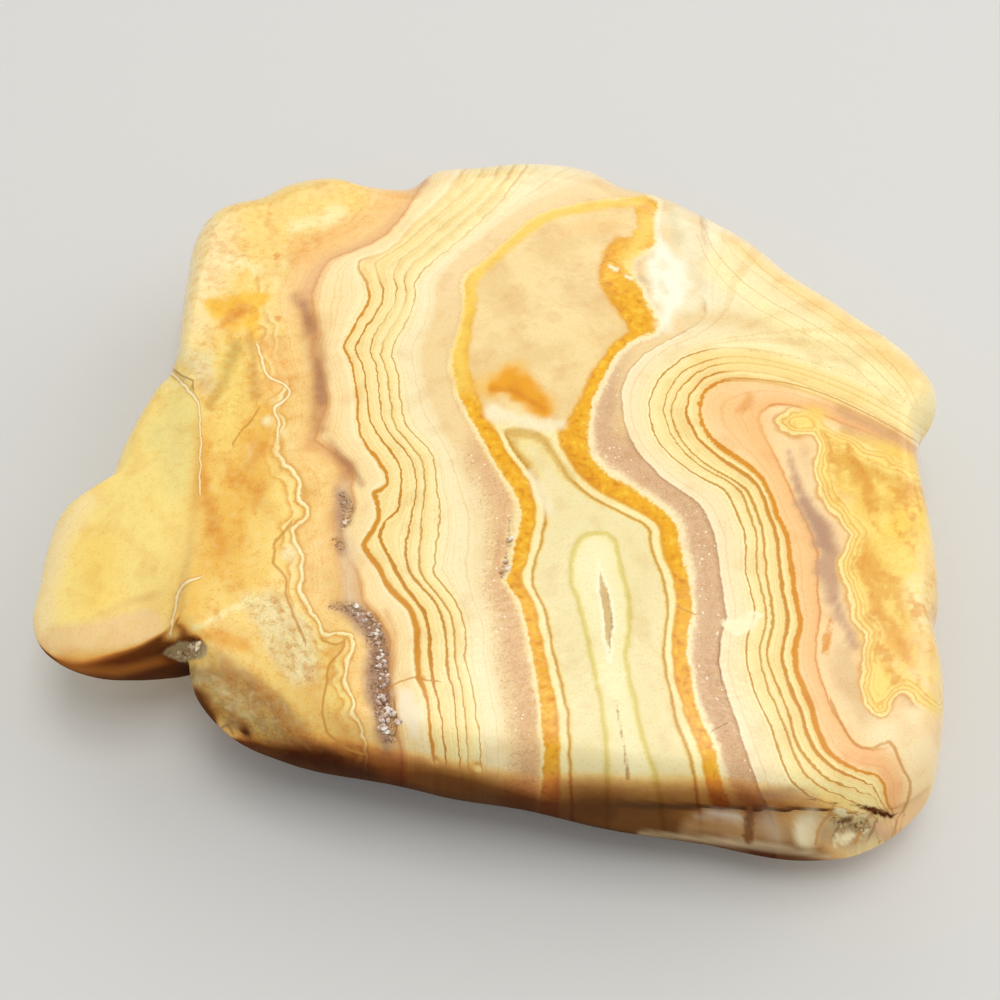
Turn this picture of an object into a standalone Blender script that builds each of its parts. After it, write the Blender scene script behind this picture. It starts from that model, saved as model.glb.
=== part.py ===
"""A tumbled and polished banded agate: one solid stone, 67 mm long, that lies on a flat of its underside.

The stone is a box primitive with a fine grid on its faces. The grid is bent round the stone's
outline and moulded between the height of the polished face, the rim and the underside.
Lengths are written in millimetres and turned into Blender's metres when the mesh is placed.
"""

import math

import bmesh
import bpy
import numpy as np

MM = 0.001

# The box primitive's grid: cells across the face, and rows down the side.
FACE_CELLS = 42
SIDE_ROWS = 10
# How far round the rim's rounding the side rows reach, above and below the rim.
SIDE_REACH = math.radians(50)
# Towards the middle of the face the grid's lines are rounder than the outline: they near this radius.
MIDDLE_RADIUS = 29.0

# The rim, the widest line round the stone, as x, y seen from above: clockwise from the left notch.
RIM = [
    (-25.6, 6.3),
    (-25.7, 10.5),
    (-25.9, 16.8),
    (-25.8, 21.0),
    (-24.5, 24.3),
    (-20.9, 25.8),
    (-18.7, 27.5),
    (-15.3, 28.4),
    (-12.2, 27.1),
    (-8.3, 26.9),
    (-5.9, 29.3),
    (-2.0, 30.0),
    (2.3, 30.4),
    (7.7, 29.5),
    (10.6, 27.2),
    (13.9, 25.9),
    (17.2, 23.7),
    (21.0, 20.2),
    (24.4, 16.1),
    (28.4, 12.2),
    (31.5, 8.7),
    (33.0, 6.0),
    (33.4, 3.8),
    (31.5, 0.5),
    (31.2, -2.5),
    (31.3, -7.6),
    (30.9, -14.0),
    (30.3, -16.4),
    (30.5, -20.2),
    (29.4, -25.9),
    (27.4, -28.4),
    (24.2, -30.1),
    (21.9, -30.4),
    (13.5, -29.5),
    (3.8, -28.2),
    (-5.1, -26.7),
    (-9.8, -25.8),
    (-15.3, -24.4),
    (-18.8, -23.0),
    (-21.3, -20.6),
    (-22.7, -17.2),
    (-25.6, -18.1),
    (-29.3, -18.6),
    (-32.1, -17.4),
    (-33.3, -15.2),
    (-33.2, -12.1),
    (-33.0, -9.0),
    (-32.3, -6.2),
    (-30.5, -4.7),
    (-29.4, -4.0),
    (-28.6, -0.5),
    (-26.9, 4.0),
]

# The rim's section by direction from the middle: degrees, the rim's height, and the widths of the
# rounding above it and below it.
EDGE = [
    (-172, 9.7, 2.0, 3.5),
    (-165, 9.5, 2.6, 3.4),
    (-155, 9.3, 2.6, 3.0),
    (-145, 9.2, 1.8, 3.0),
    (-142, 9.0, 1.8, 3.5),
    (-136, 8.8, 3.0, 4.0),
    (-129, 8.5, 3.5, 4.5),
    (-111, 8.2, 2.7, 5.5),
    (-90, 7.2, 2.6, 6.0),
    (-72, 5.2, 3.1, 5.5),
    (-60, 4.0, 3.7, 4.5),
    (-51, 4.0, 4.5, 4.0),
    (-41, 4.8, 4.8, 4.4),
    (-33, 6.0, 3.6, 5.0),
    (-24, 7.0, 3.2, 5.5),
    (-5, 8.0, 2.4, 5.0),
    (1, 8.5, 2.0, 4.5),
    (7, 8.5, 2.8, 5.0),
    (15, 8.2, 4.0, 5.5),
    (44, 8.0, 5.0, 6.0),
    (86, 8.0, 5.5, 6.0),
    (118, 8.2, 4.5, 6.0),
    (135, 8.3, 4.0, 6.0),
    (147, 8.8, 2.6, 6.0),
    (158, 9.2, 2.0, 5.0),
    (166, 9.6, 1.6, 4.0),
    (172, 9.7, 1.8, 3.5),
]
# The least that the face stands above the rim, and the least that the underside is below it.
LEAST_ABOVE = 0.4
LEAST_BELOW = 0.8

# The polished face: a low crown.
CROWN_HEIGHT = 14.6
CROWN_CENTRE = (3.0, -2.0)
CROWN_FALL = (0.0014, 0.0022)

# The lobe at the left: a lower plane beyond a fold in the face, that bends down towards its front.
FOLD = [
    (-26.4, 6.6),
    (-23.8, 3.1),
    (-22.8, 1.6),
    (-22.2, -3.8),
    (-21.9, -9.9),
    (-22.3, -13.5),
    (-22.9, -16.5),
    (-23.4, -20.0),
]
FOLD_STEEPNESS = 1.0
FOLD_BLEND = 0.3
LOBE_CORNER = (-22.3, -4.0, 13.5)
LOBE_SLOPE = (0.21, 0.02)
LOBE_BEND_FROM = -8.0
LOBE_BEND = 0.013
# The hollow at the foot of the fold: x, y, radius and depth.
LOBE_HOLLOW = (-25.4, -15.0, 2.4, 0.45)

# The bevel at the front left: an old break below a ridge, that fades into the face to the right.
RIDGE = [(-24.4, -18.9), (-20.6, -17.4), (-18.7, -16.3), (-16.4, -14.2), (-11.0, -9.0)]
BEVEL_SLOPE = 0.34
BEVEL_BEND = 0.05
BEVEL_FULL = -19.0
BEVEL_ENDS = -9.5

# The band of crystals along the bevel: worn a little lower than the stone beside it.
DRUSE = [(-12.0, -15.2), (-9.6, -18.2), (-9.2, -22.0), (-7.8, -24.0), (-7.2, -26.5)]
DRUSE_DEPTH = 0.18
DRUSE_WIDTH = 1.2

# The underside: a flat to lie on, and planes that climb away from it, each from where it starts.
FLAT_DEPTH = 0.25
CLIMB_LEFT = 0.30
CLIMB_LEFT_FROM = -9.5
CLIMB_RIGHT = 0.36
CLIMB_RIGHT_FROM = 21.0
CLIMB_BACK = 0.42
CLIMB_BACK_FROM = 17.0
CLIMB_FRONT = 0.26
CLIMB_FRONT_FROM = -18.0
CLIMB_BLEND = 1.6

# The ledge along the front: a crease under a lip. Each row is x, the crease's height and its depth.
LEDGE = [
    (6.0, 8.6, 0.0),
    (11.0, 9.0, 0.25),
    (15.4, 9.2, 0.6),
    (19.2, 9.8, 0.8),
    (21.8, 9.7, 1.0),
    (24.6, 8.8, 1.1),
    (26.8, 8.0, 0.7),
    (28.8, 7.4, 0.0),
]
LIP_WIDTH = 0.6
LEDGE_WIDTH = 1.7

# Chips out of the edge: x, y, height, radius and depth.
CHIPS = [
    (-21.6, -19.2, 12.0, 2.0, 0.8),
    (-24.7, 4.6, 12.6, 1.5, 0.7),
    (-18.2, -23.4, 8.9, 1.1, 0.5),
    (23.4, -30.2, 7.2, 2.2, 0.5),
]
# A chip's bite is full to a fifth of its radius, and fades to nothing a fifth beyond it.
CHIP_SPREAD = 1.2

# Slow waves that polishing leaves in the stone: radians a millimetre along x, y and z, phase, height.
WAVES = [
    (0.58, -0.08, 0.20, 0.7, 0.045),
    (0.04, 0.39, -0.20, 1.5, 0.045),
    (0.55, -0.41, 1.00, 0.0, 0.054),
]


def smooth_min(first, second, blend):
    """The smaller of two heights, with the crease between them rounded over the blend."""
    mix = np.clip(0.5 + 0.5 * (second - first) / blend, 0, 1)
    return second * (1 - mix) + first * mix - blend * mix * (1 - mix)


def smooth_max(first, second, blend):
    return -smooth_min(-first, -second, blend)


def smooth_step(share):
    share = np.clip(share, 0, 1)
    return share * share * (3 - 2 * share)


def round_the_middle(angle, directions, values):
    """Smooth curves through values that are given at directions from the middle, read at each angle."""
    order = np.argsort(directions)
    directions, values = directions[order], values[order]
    turn = 2 * math.pi
    directions = np.concatenate([directions[-2:] - turn, directions, directions[:2] + turn])
    values = np.concatenate([values[-2:], values, values[:2]])
    slopes = (values[2:] - values[:-2]) / (directions[2:] - directions[:-2])[:, None]
    knots, heights = directions[1:-1], values[1:-1]
    at = np.clip(np.searchsorted(knots, angle, side="right") - 1, 0, len(knots) - 2)
    span = (knots[at + 1] - knots[at])[:, None]
    t = (angle - knots[at])[:, None] / span
    curve = (2 * t**3 - 3 * t**2 + 1) * heights[at] + (3 * t**2 - 2 * t**3) * heights[at + 1]
    return curve + span * ((t**3 - 2 * t**2 + t) * slopes[at] + (t**3 - t**2) * slopes[at + 1])


def rim_towards(angle):
    """The rim's distance from the middle, its height and its two roundings, in each direction."""
    rim = np.array(RIM)
    edge = np.array(EDGE)
    radius = round_the_middle(angle, np.arctan2(rim[:, 1], rim[:, 0]), np.hypot(*rim.T)[:, None])
    section = round_the_middle(angle, np.radians(edge[:, 0]), edge[:, 1:])
    return radius[:, 0], *section.T


def right_of(line, x, y):
    """How far a point is to the right of a line of points, read from the first to the last."""
    nearest = np.full(x.shape, np.inf)
    right = np.zeros(x.shape)
    for (ax, ay), (bx, by) in zip(line[:-1], line[1:]):
        length = math.hypot(bx - ax, by - ay)
        ux, uy = (bx - ax) / length, (by - ay) / length
        along = np.clip((x - ax) * ux + (y - ay) * uy, 0, length)
        gap = np.hypot(x - ax - along * ux, y - ay - along * uy)
        side = np.sign((x - ax) * uy - (y - ay) * ux)
        right = np.where(gap < nearest, side * gap, right)
        nearest = np.minimum(gap, nearest)
    return right


def face_height(x, y):
    """The height of the polished face over a point of the plan, before the rim is rounded."""
    across, along = x - CROWN_CENTRE[0], y - CROWN_CENTRE[1]
    body = CROWN_HEIGHT - CROWN_FALL[0] * across**2 - CROWN_FALL[1] * along**2
    below = np.maximum(right_of(RIDGE, x, y), 0)
    share = smooth_step((BEVEL_ENDS - x) / (BEVEL_ENDS - BEVEL_FULL))
    body = body - BEVEL_SLOPE * share * (below + BEVEL_BEND * below**2)
    body = body - DRUSE_DEPTH * np.exp(-((right_of(DRUSE, x, y) / DRUSE_WIDTH) ** 2))
    return smooth_min(body, lobe_height(x, y), FOLD_BLEND)


def lobe_height(x, y):
    """The lobe's plane, and the scarp of the fold that climbs from it to the body."""
    corner_x, corner_y, corner_z = LOBE_CORNER
    hollow_x, hollow_y, hollow_radius, hollow_depth = LOBE_HOLLOW
    lobe = corner_z + LOBE_SLOPE[0] * (x - corner_x) + LOBE_SLOPE[1] * (y - corner_y)
    lobe = lobe - LOBE_BEND * np.maximum(LOBE_BEND_FROM - y, 0) ** 2
    lobe = lobe - hollow_depth * np.exp(-((x - hollow_x) ** 2 + (y - hollow_y) ** 2) / hollow_radius**2)
    return lobe + FOLD_STEEPNESS * np.maximum(-right_of(FOLD, x, y), 0)


def underside_height(x, y):
    """The height of the underside over a point of the plan, before the rim is rounded."""
    height = np.full(x.shape, -FLAT_DEPTH)
    for climb in (
        CLIMB_LEFT * (CLIMB_LEFT_FROM - x),
        CLIMB_RIGHT * (x - CLIMB_RIGHT_FROM),
        CLIMB_BACK * (y - CLIMB_BACK_FROM),
        CLIMB_FRONT * (CLIMB_FRONT_FROM - y),
    ):
        height = smooth_max(height, climb, CLIMB_BLEND)
    return height


def rounded(inset, width):
    """A quarter circle's rise, from 0 at the rim to 1 where the rounding ends."""
    share = np.clip(inset / width, 0, 1)
    return np.sqrt(1 - (1 - share) ** 2)


def square_to_disc(a, b):
    """A square's point on a disc, as distance from the middle and direction."""
    reach = np.maximum(np.abs(a), np.abs(b))
    wider = np.abs(a) > np.abs(b)
    turned = math.pi / 4 * np.where(wider, b, -a) / np.where(reach == 0, 1, np.where(wider, a, b))
    quarter = np.where(wider, np.where(a >= 0, 0, math.pi), np.where(b >= 0, math.pi / 2, -math.pi / 2))
    angle = quarter + turned
    return reach, np.arctan2(np.sin(angle), np.cos(angle))


def waves(x, y, z):
    return sum(height * np.sin(u * x + v * y + w * z + phase) for u, v, w, phase, height in WAVES)


def ledge_bite(x, y, z):
    """How deep the ledge's crease cuts in at the front: sharply under the lip, and fading out below."""
    along, heights, depths = np.array(LEDGE).T
    crease = np.interp(x, along, heights)
    width = np.where(z > crease, LIP_WIDTH, LEDGE_WIDTH)
    return np.interp(x, along, depths) * np.exp(-(((z - crease) / width) ** 2)) * (y < 0)


def moulded(a, b, c):
    """Where each point of the box primitive, from -1 to 1 each way, lies on the stone, in millimetres."""
    reach, angle = square_to_disc(a, b)
    radius, rim_height, shoulder, belly = rim_towards(angle)
    rounding = np.where(c >= 0, shoulder, belly)
    side = np.abs(c) < 1
    grid_edge = radius - rounding * (1 - math.cos(SIDE_REACH))
    from_middle = reach * (MIDDLE_RADIUS + (grid_edge - MIDDLE_RADIUS) * reach**2)
    inset = np.where(side, rounding * (1 - np.cos(SIDE_REACH * c)), radius - from_middle)
    rise = np.where(side, np.sin(SIDE_REACH * np.abs(c)), rounded(inset, rounding))
    out_x, out_y = np.cos(angle), np.sin(angle)
    x = (radius - inset) * out_x
    y = (radius - inset) * out_y
    above = np.maximum(face_height(x, y) - rim_height, LEAST_ABOVE)
    below = np.maximum(rim_height - underside_height(x, y), LEAST_BELOW)
    z = rim_height + rise * np.where(c >= 0, above, -below)
    swell = waves(x, y, z)
    outwards = swell * (1 - rise) - ledge_bite(x, y, z) * (inset < rounding)
    upwards = swell * rise
    for chip_x, chip_y, chip_z, chip_radius, chip_depth in CHIPS:
        gap = np.sqrt((x - chip_x) ** 2 + (y - chip_y) ** 2 + (z - chip_z) ** 2)
        bite = chip_depth * smooth_step(CHIP_SPREAD - gap / chip_radius)
        outwards = outwards - bite * (1 - rise)
        upwards = upwards - bite * rise
    z = np.maximum(z + upwards * np.sign(c), 0)
    return np.column_stack([x + outwards * out_x, y + outwards * out_y, z])


def clear_scene():
    for old in list(bpy.data.objects):
        bpy.data.objects.remove(old, do_unlink=True)


def gridded_box():
    """A box primitive from -1 to 1 with the face's cells on top and below, and the side's rows between."""
    mesh = bmesh.new()
    bmesh.ops.create_cube(mesh, size=2)
    level = [e for e in mesh.edges if e.verts[0].co.z == e.verts[1].co.z]
    bmesh.ops.subdivide_edges(mesh, edges=level, cuts=FACE_CELLS - 1, use_grid_fill=True)
    upright = [e for e in mesh.edges if e.verts[0].co.z != e.verts[1].co.z]
    bmesh.ops.subdivide_edges(mesh, edges=upright, cuts=SIDE_ROWS - 1, use_grid_fill=True)
    return mesh


def agate_material():
    material = bpy.data.materials.new("polished_agate")
    material.use_nodes = True
    surface = material.node_tree.nodes["Principled BSDF"]
    surface.inputs["Base Color"].default_value = (0.86, 0.60, 0.30, 1)
    surface.inputs["Roughness"].default_value = 0.22
    surface.inputs["Metallic"].default_value = 0.0
    surface.inputs["IOR"].default_value = 1.54
    return material


def agate_stone(collection):
    """The stone, centred over the origin, with the flat of its underside at z = 0."""
    mesh = gridded_box()
    places = moulded(*np.array([v.co for v in mesh.verts]).T)
    middle = (places.min(axis=0) + places.max(axis=0)) / 2
    places[:, :2] -= middle[:2]
    for vertex, place in zip(mesh.verts, places * MM):
        vertex.co = place
    bmesh.ops.recalc_face_normals(mesh, faces=mesh.faces)
    data = bpy.data.meshes.new("agate_stone")
    mesh.to_mesh(data)
    mesh.free()
    data.shade_smooth()
    data.materials.append(agate_material())
    stone = bpy.data.objects.new("agate_stone", data)
    collection.objects.link(stone)


def main():
    clear_scene()
    collection = bpy.data.collections.new("banded_agate")
    bpy.context.scene.collection.children.link(collection)
    agate_stone(collection)


main()
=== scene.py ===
import math

import bpy
import numpy as np
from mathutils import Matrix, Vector, noise


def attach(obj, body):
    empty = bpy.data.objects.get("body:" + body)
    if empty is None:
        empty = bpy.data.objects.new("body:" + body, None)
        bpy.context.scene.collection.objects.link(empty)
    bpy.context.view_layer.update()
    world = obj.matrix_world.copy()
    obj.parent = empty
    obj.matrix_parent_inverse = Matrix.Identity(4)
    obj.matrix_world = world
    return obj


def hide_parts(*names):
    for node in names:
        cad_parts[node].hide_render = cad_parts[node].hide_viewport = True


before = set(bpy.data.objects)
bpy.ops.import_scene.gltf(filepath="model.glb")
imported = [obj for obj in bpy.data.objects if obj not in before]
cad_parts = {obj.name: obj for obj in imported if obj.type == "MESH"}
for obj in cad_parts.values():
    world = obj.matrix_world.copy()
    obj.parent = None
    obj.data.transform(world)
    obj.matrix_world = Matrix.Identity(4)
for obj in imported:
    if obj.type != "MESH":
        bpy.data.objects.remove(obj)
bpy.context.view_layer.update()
mm = 0.001

# the view that the stone is drawn from, in millimetres: its bands are laid out in this view's 1000 points
view = {
    "eye": (-0.357, -69.61, 105.85),
    "tilt": math.radians(34),
    "reach": 1568.0,  # points per unit of width over depth
    "middle": 500.0,
    "filmWidth": 36.0,
    "points": 1000.0,
}

# the stone's form, in millimetres; rim: x, y from above, clockwise from the notch at the left
stoneForm = {
    "faceCells": 232,  # even
    "shrink": 0.998,  # the fine skin stays inside the solid's box
    "sideRows": 32,
    "sideReach": math.radians(50),
    "middleRadius": 29.0,
    "rim": [(-25.6, 6.3), (-25.7, 10.5), (-25.9, 16.8), (-25.8, 21.0), (-24.5, 24.3), (-20.9, 25.8),
        (-18.7, 27.5), (-15.3, 28.4), (-12.2, 27.1), (-8.3, 26.9), (-5.9, 29.3), (-2.0, 30.0), (2.3, 30.4),
        (7.7, 29.5), (10.6, 27.2), (13.9, 25.9), (17.2, 23.7), (21.0, 20.2), (24.4, 16.1), (28.4, 12.2),
        (31.5, 8.7), (33.0, 6.0), (33.4, 3.8), (31.5, 0.5), (31.2, -2.5), (31.3, -7.6), (30.9, -14.0),
        (30.3, -16.4), (30.5, -20.2), (29.4, -25.9), (27.4, -28.4), (24.2, -30.1), (21.9, -30.4),
        (13.5, -29.5), (3.8, -28.2), (-5.1, -26.7), (-9.8, -25.8), (-15.3, -24.4), (-18.8, -23.0),
        (-21.3, -20.6), (-22.7, -17.2), (-25.6, -18.1), (-29.3, -18.6), (-32.1, -17.4), (-33.3, -15.2),
        (-33.2, -12.1), (-33.0, -9.0), (-32.3, -6.2), (-30.5, -4.7), (-29.4, -4.0), (-28.6, -0.5),
        (-26.9, 4.0)],
    # degrees round from +X, the rim's height, how wide its rounding is above and below
    "edge": [(-172, 9.7, 2.0, 3.5), (-165, 9.5, 2.6, 3.4), (-155, 9.3, 2.6, 3.0), (-145, 9.2, 1.8, 3.0),
        (-142, 9.0, 1.8, 3.5), (-136, 8.8, 3.0, 4.0), (-129, 8.5, 3.5, 4.5), (-111, 8.2, 2.7, 5.5),
        (-90, 7.2, 2.6, 6.0), (-72, 5.2, 3.1, 5.5), (-60, 4.0, 3.7, 4.5), (-51, 4.0, 4.5, 4.0),
        (-41, 4.8, 4.8, 4.4), (-33, 6.0, 3.6, 5.0), (-24, 7.0, 3.2, 5.5), (-5, 8.0, 2.4, 5.0),
        (1, 8.5, 2.0, 4.5), (7, 8.5, 2.8, 5.0), (15, 8.2, 4.0, 5.5), (44, 8.0, 5.0, 6.0),
        (86, 8.0, 5.5, 6.0), (118, 8.2, 4.5, 6.0), (135, 8.3, 4.0, 6.0), (147, 8.8, 2.6, 6.0),
        (158, 9.2, 2.0, 5.0), (166, 9.6, 1.6, 4.0), (172, 9.7, 1.8, 3.5)],
    "leastAbove": 0.4,
    "leastBelow": 0.8,
    "crown": (14.6, 3.0, -2.0, 0.0014, 0.0022),  # height, x, y, fall across, fall along
    "fold": [(-26.4, 6.6), (-23.8, 3.1), (-22.8, 1.6), (-22.2, -3.8), (-21.9, -9.9), (-22.3, -13.5),
        (-22.9, -16.5), (-23.4, -20.0)],
    "foldSteepness": 1.35,
    "foldBlend": 0.22,
    "lobeCorner": (-22.3, -4.0, 13.5),
    "lobeSlope": (0.21, 0.02),
    "lobeBend": (-8.0, 0.013),  # where it starts, how much
    "lobeHollow": (-25.4, -15.0, 2.4, 0.45),  # x, y, radius, depth
    "ridge": [(-24.4, -18.9), (-20.6, -17.4), (-18.7, -16.3), (-16.4, -14.2), (-11.0, -9.0)],
    "bevelSlope": 0.34,
    "bevelBend": 0.05,
    "bevelFrom": -19.0,
    "bevelTo": -9.5,
    "druse": [(-12.0, -15.2), (-9.6, -18.2), (-9.2, -22.0), (-7.8, -24.0), (-7.2, -26.5)],
    "druseDepth": 0.18,
    "druseWidth": 1.2,
    "flatDepth": 0.25,
    "climbs": [(-0.30, 0.0, -9.5), (0.36, 0.0, 21.0), (0.0, 0.42, 17.0), (0.0, -0.26, -18.0)],  # x, y, from
    "climbBlend": 1.6,
    "ledge": [(6.0, 8.6, 0.0), (11.0, 9.0, 0.4), (15.4, 9.2, 1.0), (19.2, 9.8, 1.4), (21.8, 9.7, 1.8),
        (24.6, 8.8, 2.0), (26.8, 8.0, 1.3), (28.8, 7.4, 0.0)],  # x, the crease's height, its depth
    "lipWidth": 0.22,
    "frontTurn": 1.6,  # how soon the front has its own shoulder
    "frontShoulder": 3.0,  # 2 is a quarter circle, more keeps the face flat further out
    "ledgeWidth": 2.4,
    "chips": [(-21.6, -19.2, 12.0, 2.0, 0.8), (-24.7, 4.6, 12.6, 1.5, 0.7), (-18.2, -23.4, 8.9, 1.1, 0.5),
        (23.4, -30.2, 7.2, 2.2, 0.5)],  # x, y, z, radius, depth
    "chipSpread": 1.2,
    "waves": [(0.58, -0.08, 0.20, 0.7, 0.045), (0.04, 0.39, -0.20, 1.5, 0.045),
        (0.55, -0.41, 1.00, 0.0, 0.054)],
}


def smoothMin(first, second, blend):
    mix = np.clip(0.5 + 0.5 * (second - first) / blend, 0, 1)
    return second * (1 - mix) + first * mix - blend * mix * (1 - mix)


def smoothMax(first, second, blend):
    return -smoothMin(-first, -second, blend)


def smoothStep(share):
    share = np.clip(share, 0, 1)
    return share * share * (3 - 2 * share)


def rising(value, low, high):
    # 0 up to low, 1 from high on, and smooth between
    return smoothStep((value - low) / (high - low))


def bent(t, start, end, leaving, arriving):
    # a smooth curve from start to end, with its slopes there
    return ((2 * t**3 - 3 * t**2 + 1) * start + (3 * t**2 - 2 * t**3) * end
            + (t**3 - 2 * t**2 + t) * leaving + (t**3 - t**2) * arriving)


def roundTheMiddle(angle, directions, values):
    # smooth curves through the values, read at each angle
    order = np.argsort(directions)
    directions, values = directions[order], values[order]
    turn = 2 * math.pi
    directions = np.concatenate([directions[-2:] - turn, directions, directions[:2] + turn])
    values = np.concatenate([values[-2:], values, values[:2]])
    slopes = (values[2:] - values[:-2]) / (directions[2:] - directions[:-2])[:, None]
    knots, heights = directions[1:-1], values[1:-1]
    at = np.clip(np.searchsorted(knots, angle, side="right") - 1, 0, len(knots) - 2)
    span = (knots[at + 1] - knots[at])[:, None]
    share = (angle - knots[at])[:, None] / span
    return bent(share, heights[at], heights[at + 1], span * slopes[at], span * slopes[at + 1])


def rimTowards(angle):
    rim, edge = np.array(stoneForm["rim"]), np.array(stoneForm["edge"])
    radius = roundTheMiddle(angle, np.arctan2(rim[:, 1], rim[:, 0]), np.hypot(*rim.T)[:, None])
    section = roundTheMiddle(angle, np.radians(edge[:, 0]), edge[:, 1:])
    return radius[:, 0], *section.T


def rightOf(line, x, y):
    # how far each point is to the right of a line of points
    nearest = np.full(x.shape, np.inf)
    right = np.zeros(x.shape)
    for (ax, ay), (bx, by) in zip(line[:-1], line[1:]):
        length = math.hypot(bx - ax, by - ay)
        ux, uy = (bx - ax) / length, (by - ay) / length
        along = (x - ax) * ux + (y - ay) * uy
        aside = (x - ax) * uy - (y - ay) * ux
        gap = aside**2 + (along - np.clip(along, 0, length)) ** 2
        right = np.where(gap < nearest, aside, right)
        nearest = np.minimum(gap, nearest)
    return np.where(right < 0, -1, 1) * np.sqrt(nearest)


def lobeHeight(x, y):
    form = stoneForm
    cornerX, cornerY, cornerZ = form["lobeCorner"]
    hollowX, hollowY, hollowRadius, hollowDepth = form["lobeHollow"]
    bendFrom, bend = form["lobeBend"]
    lobe = cornerZ + form["lobeSlope"][0] * (x - cornerX) + form["lobeSlope"][1] * (y - cornerY)
    lobe = lobe - bend * np.maximum(bendFrom - y, 0) ** 2
    lobe = lobe - hollowDepth * np.exp(-((x - hollowX) ** 2 + (y - hollowY) ** 2) / hollowRadius**2)
    return lobe + form["foldSteepness"] * np.maximum(-rightOf(form["fold"], x, y), 0)


def faceHeight(x, y):
    form = stoneForm
    height, crownX, crownY, fallAcross, fallAlong = form["crown"]
    body = height - fallAcross * (x - crownX) ** 2 - fallAlong * (y - crownY) ** 2
    below = np.maximum(rightOf(form["ridge"], x, y), 0)
    share = rising(-x, -form["bevelTo"], -form["bevelFrom"])
    body = body - form["bevelSlope"] * share * (below + form["bevelBend"] * below**2)
    body = body - form["druseDepth"] * np.exp(-((rightOf(form["druse"], x, y) / form["druseWidth"]) ** 2))
    return smoothMin(body, lobeHeight(x, y), form["foldBlend"])


def undersideHeight(x, y):
    height = np.full(x.shape, -stoneForm["flatDepth"])
    for slopeX, slopeY, start in stoneForm["climbs"]:
        climb = slopeX * (x - start) if slopeX else slopeY * (y - start)
        height = smoothMax(height, climb, stoneForm["climbBlend"])
    return height


def rounded(inset, width, power):
    share = np.clip(inset / width, 0, 1)
    return np.sqrt(1 - (1 - share) ** power)


def squareToDisc(a, b):
    reach = np.maximum(np.abs(a), np.abs(b))
    wider = np.abs(a) > np.abs(b)
    turned = math.pi / 4 * np.where(wider, b, -a) / np.where(reach == 0, 1, np.where(wider, a, b))
    quarter = np.where(wider, np.where(a >= 0, 0, math.pi), np.where(b >= 0, math.pi / 2, -math.pi / 2))
    angle = quarter + turned
    return reach, np.arctan2(np.sin(angle), np.cos(angle))


def ledgeAt(x):
    # the crease's height and depth
    along, heights, depths = np.array(stoneForm["ledge"]).T
    return np.interp(x, along, heights), np.interp(x, along, depths)


def ledgeBite(x, y, z):
    crease, depth = ledgeAt(x)
    width = np.where(z > crease, stoneForm["lipWidth"], stoneForm["ledgeWidth"])
    return depth * np.exp(-(((z - crease) / width) ** 2)) * (y < 0)


def moulded(a, b, c):
    # where the points of a box from -1 to 1 lie on the stone
    form = stoneForm
    reach, angle = squareToDisc(a, b)
    radius, rimHeight, shoulder, belly = rimTowards(angle)
    rounding = np.where(c >= 0, shoulder, belly)
    side = np.abs(c) < 1
    gridEdge = radius - rounding * (1 - math.cos(form["sideReach"]))
    fromMiddle = reach * (form["middleRadius"] + (gridEdge - form["middleRadius"]) * reach**2)
    inset = np.where(side, rounding * (1 - np.cos(form["sideReach"] * c)), radius - fromMiddle)
    outX, outY = np.cos(angle), np.sin(angle)
    front = smoothStep(-outY * form["frontTurn"])
    rise = rounded(inset, rounding, np.where(c >= 0, 2 + (form["frontShoulder"] - 2) * front, 2))
    x, y = (radius - inset) * outX, (radius - inset) * outY
    above = np.maximum(faceHeight(x, y) - rimHeight, form["leastAbove"])
    below = np.maximum(rimHeight - undersideHeight(x, y), form["leastBelow"])
    z = rimHeight + rise * np.where(c >= 0, above, -below)
    swell = sum(height * np.sin(u * x + v * y + w * z + phase) for u, v, w, phase, height in form["waves"])
    outwards = swell * (1 - rise) - ledgeBite(x, y, z) * (inset < rounding)
    upwards = swell * rise
    for chipX, chipY, chipZ, chipRadius, chipDepth in form["chips"]:
        gap = np.sqrt((x - chipX) ** 2 + (y - chipY) ** 2 + (z - chipZ) ** 2)
        bite = chipDepth * smoothStep(form["chipSpread"] - gap / chipRadius)
        outwards = outwards - bite * (1 - rise)
        upwards = upwards - bite * rise
    z = np.maximum(z + upwards * np.sign(c), 0)
    return np.column_stack([x + outwards * outX, y + outwards * outY, z])


def boxGrid():
    # a box from -1 to 1: fine cells on the face, rows down the side, cells twice as wide below
    cells, rows = stoneForm["faceCells"], stoneForm["sideRows"]
    spots = [(2 * i / cells - 1, 2 * j / cells - 1, 1) for i in range(cells + 1) for j in range(cells + 1)]
    corners = [i * (cells + 1) + j for i in range(cells) for j in range(cells)]
    faces = [(k, k + cells + 1, k + cells + 2, k + 1) for k in corners]
    border = [(i, 0) for i in range(cells)] + [(cells, j) for j in range(cells)]
    border += [(i, cells) for i in range(cells, 0, -1)] + [(0, j) for j in range(cells, 0, -1)]
    ring = [i * (cells + 1) + j for i, j in border]
    for row in range(1, rows + 1):
        lower = list(range(len(spots), len(spots) + len(border)))
        spots += [(2 * i / cells - 1, 2 * j / cells - 1, 1 - 2 * row / rows) for i, j in border]
        faces += zip(ring, lower, lower[1:] + lower[:1], ring[1:] + ring[:1])
        ring = lower
    under = dict(zip(border, ring))
    for i in range(2, cells, 2):
        for j in range(2, cells, 2):
            under[i, j] = len(spots)
            spots.append((2 * i / cells - 1, 2 * j / cells - 1, -1))
    walk = [(0, 0), (0, 1), (0, 2), (1, 2), (2, 2), (2, 1), (2, 0), (1, 0)]
    for i in range(0, cells, 2):
        for j in range(0, cells, 2):
            faces.append(tuple(under[i + a, j + b] for a, b in walk if (i + a, j + b) in under))
    return np.array(spots, float), faces


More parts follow.
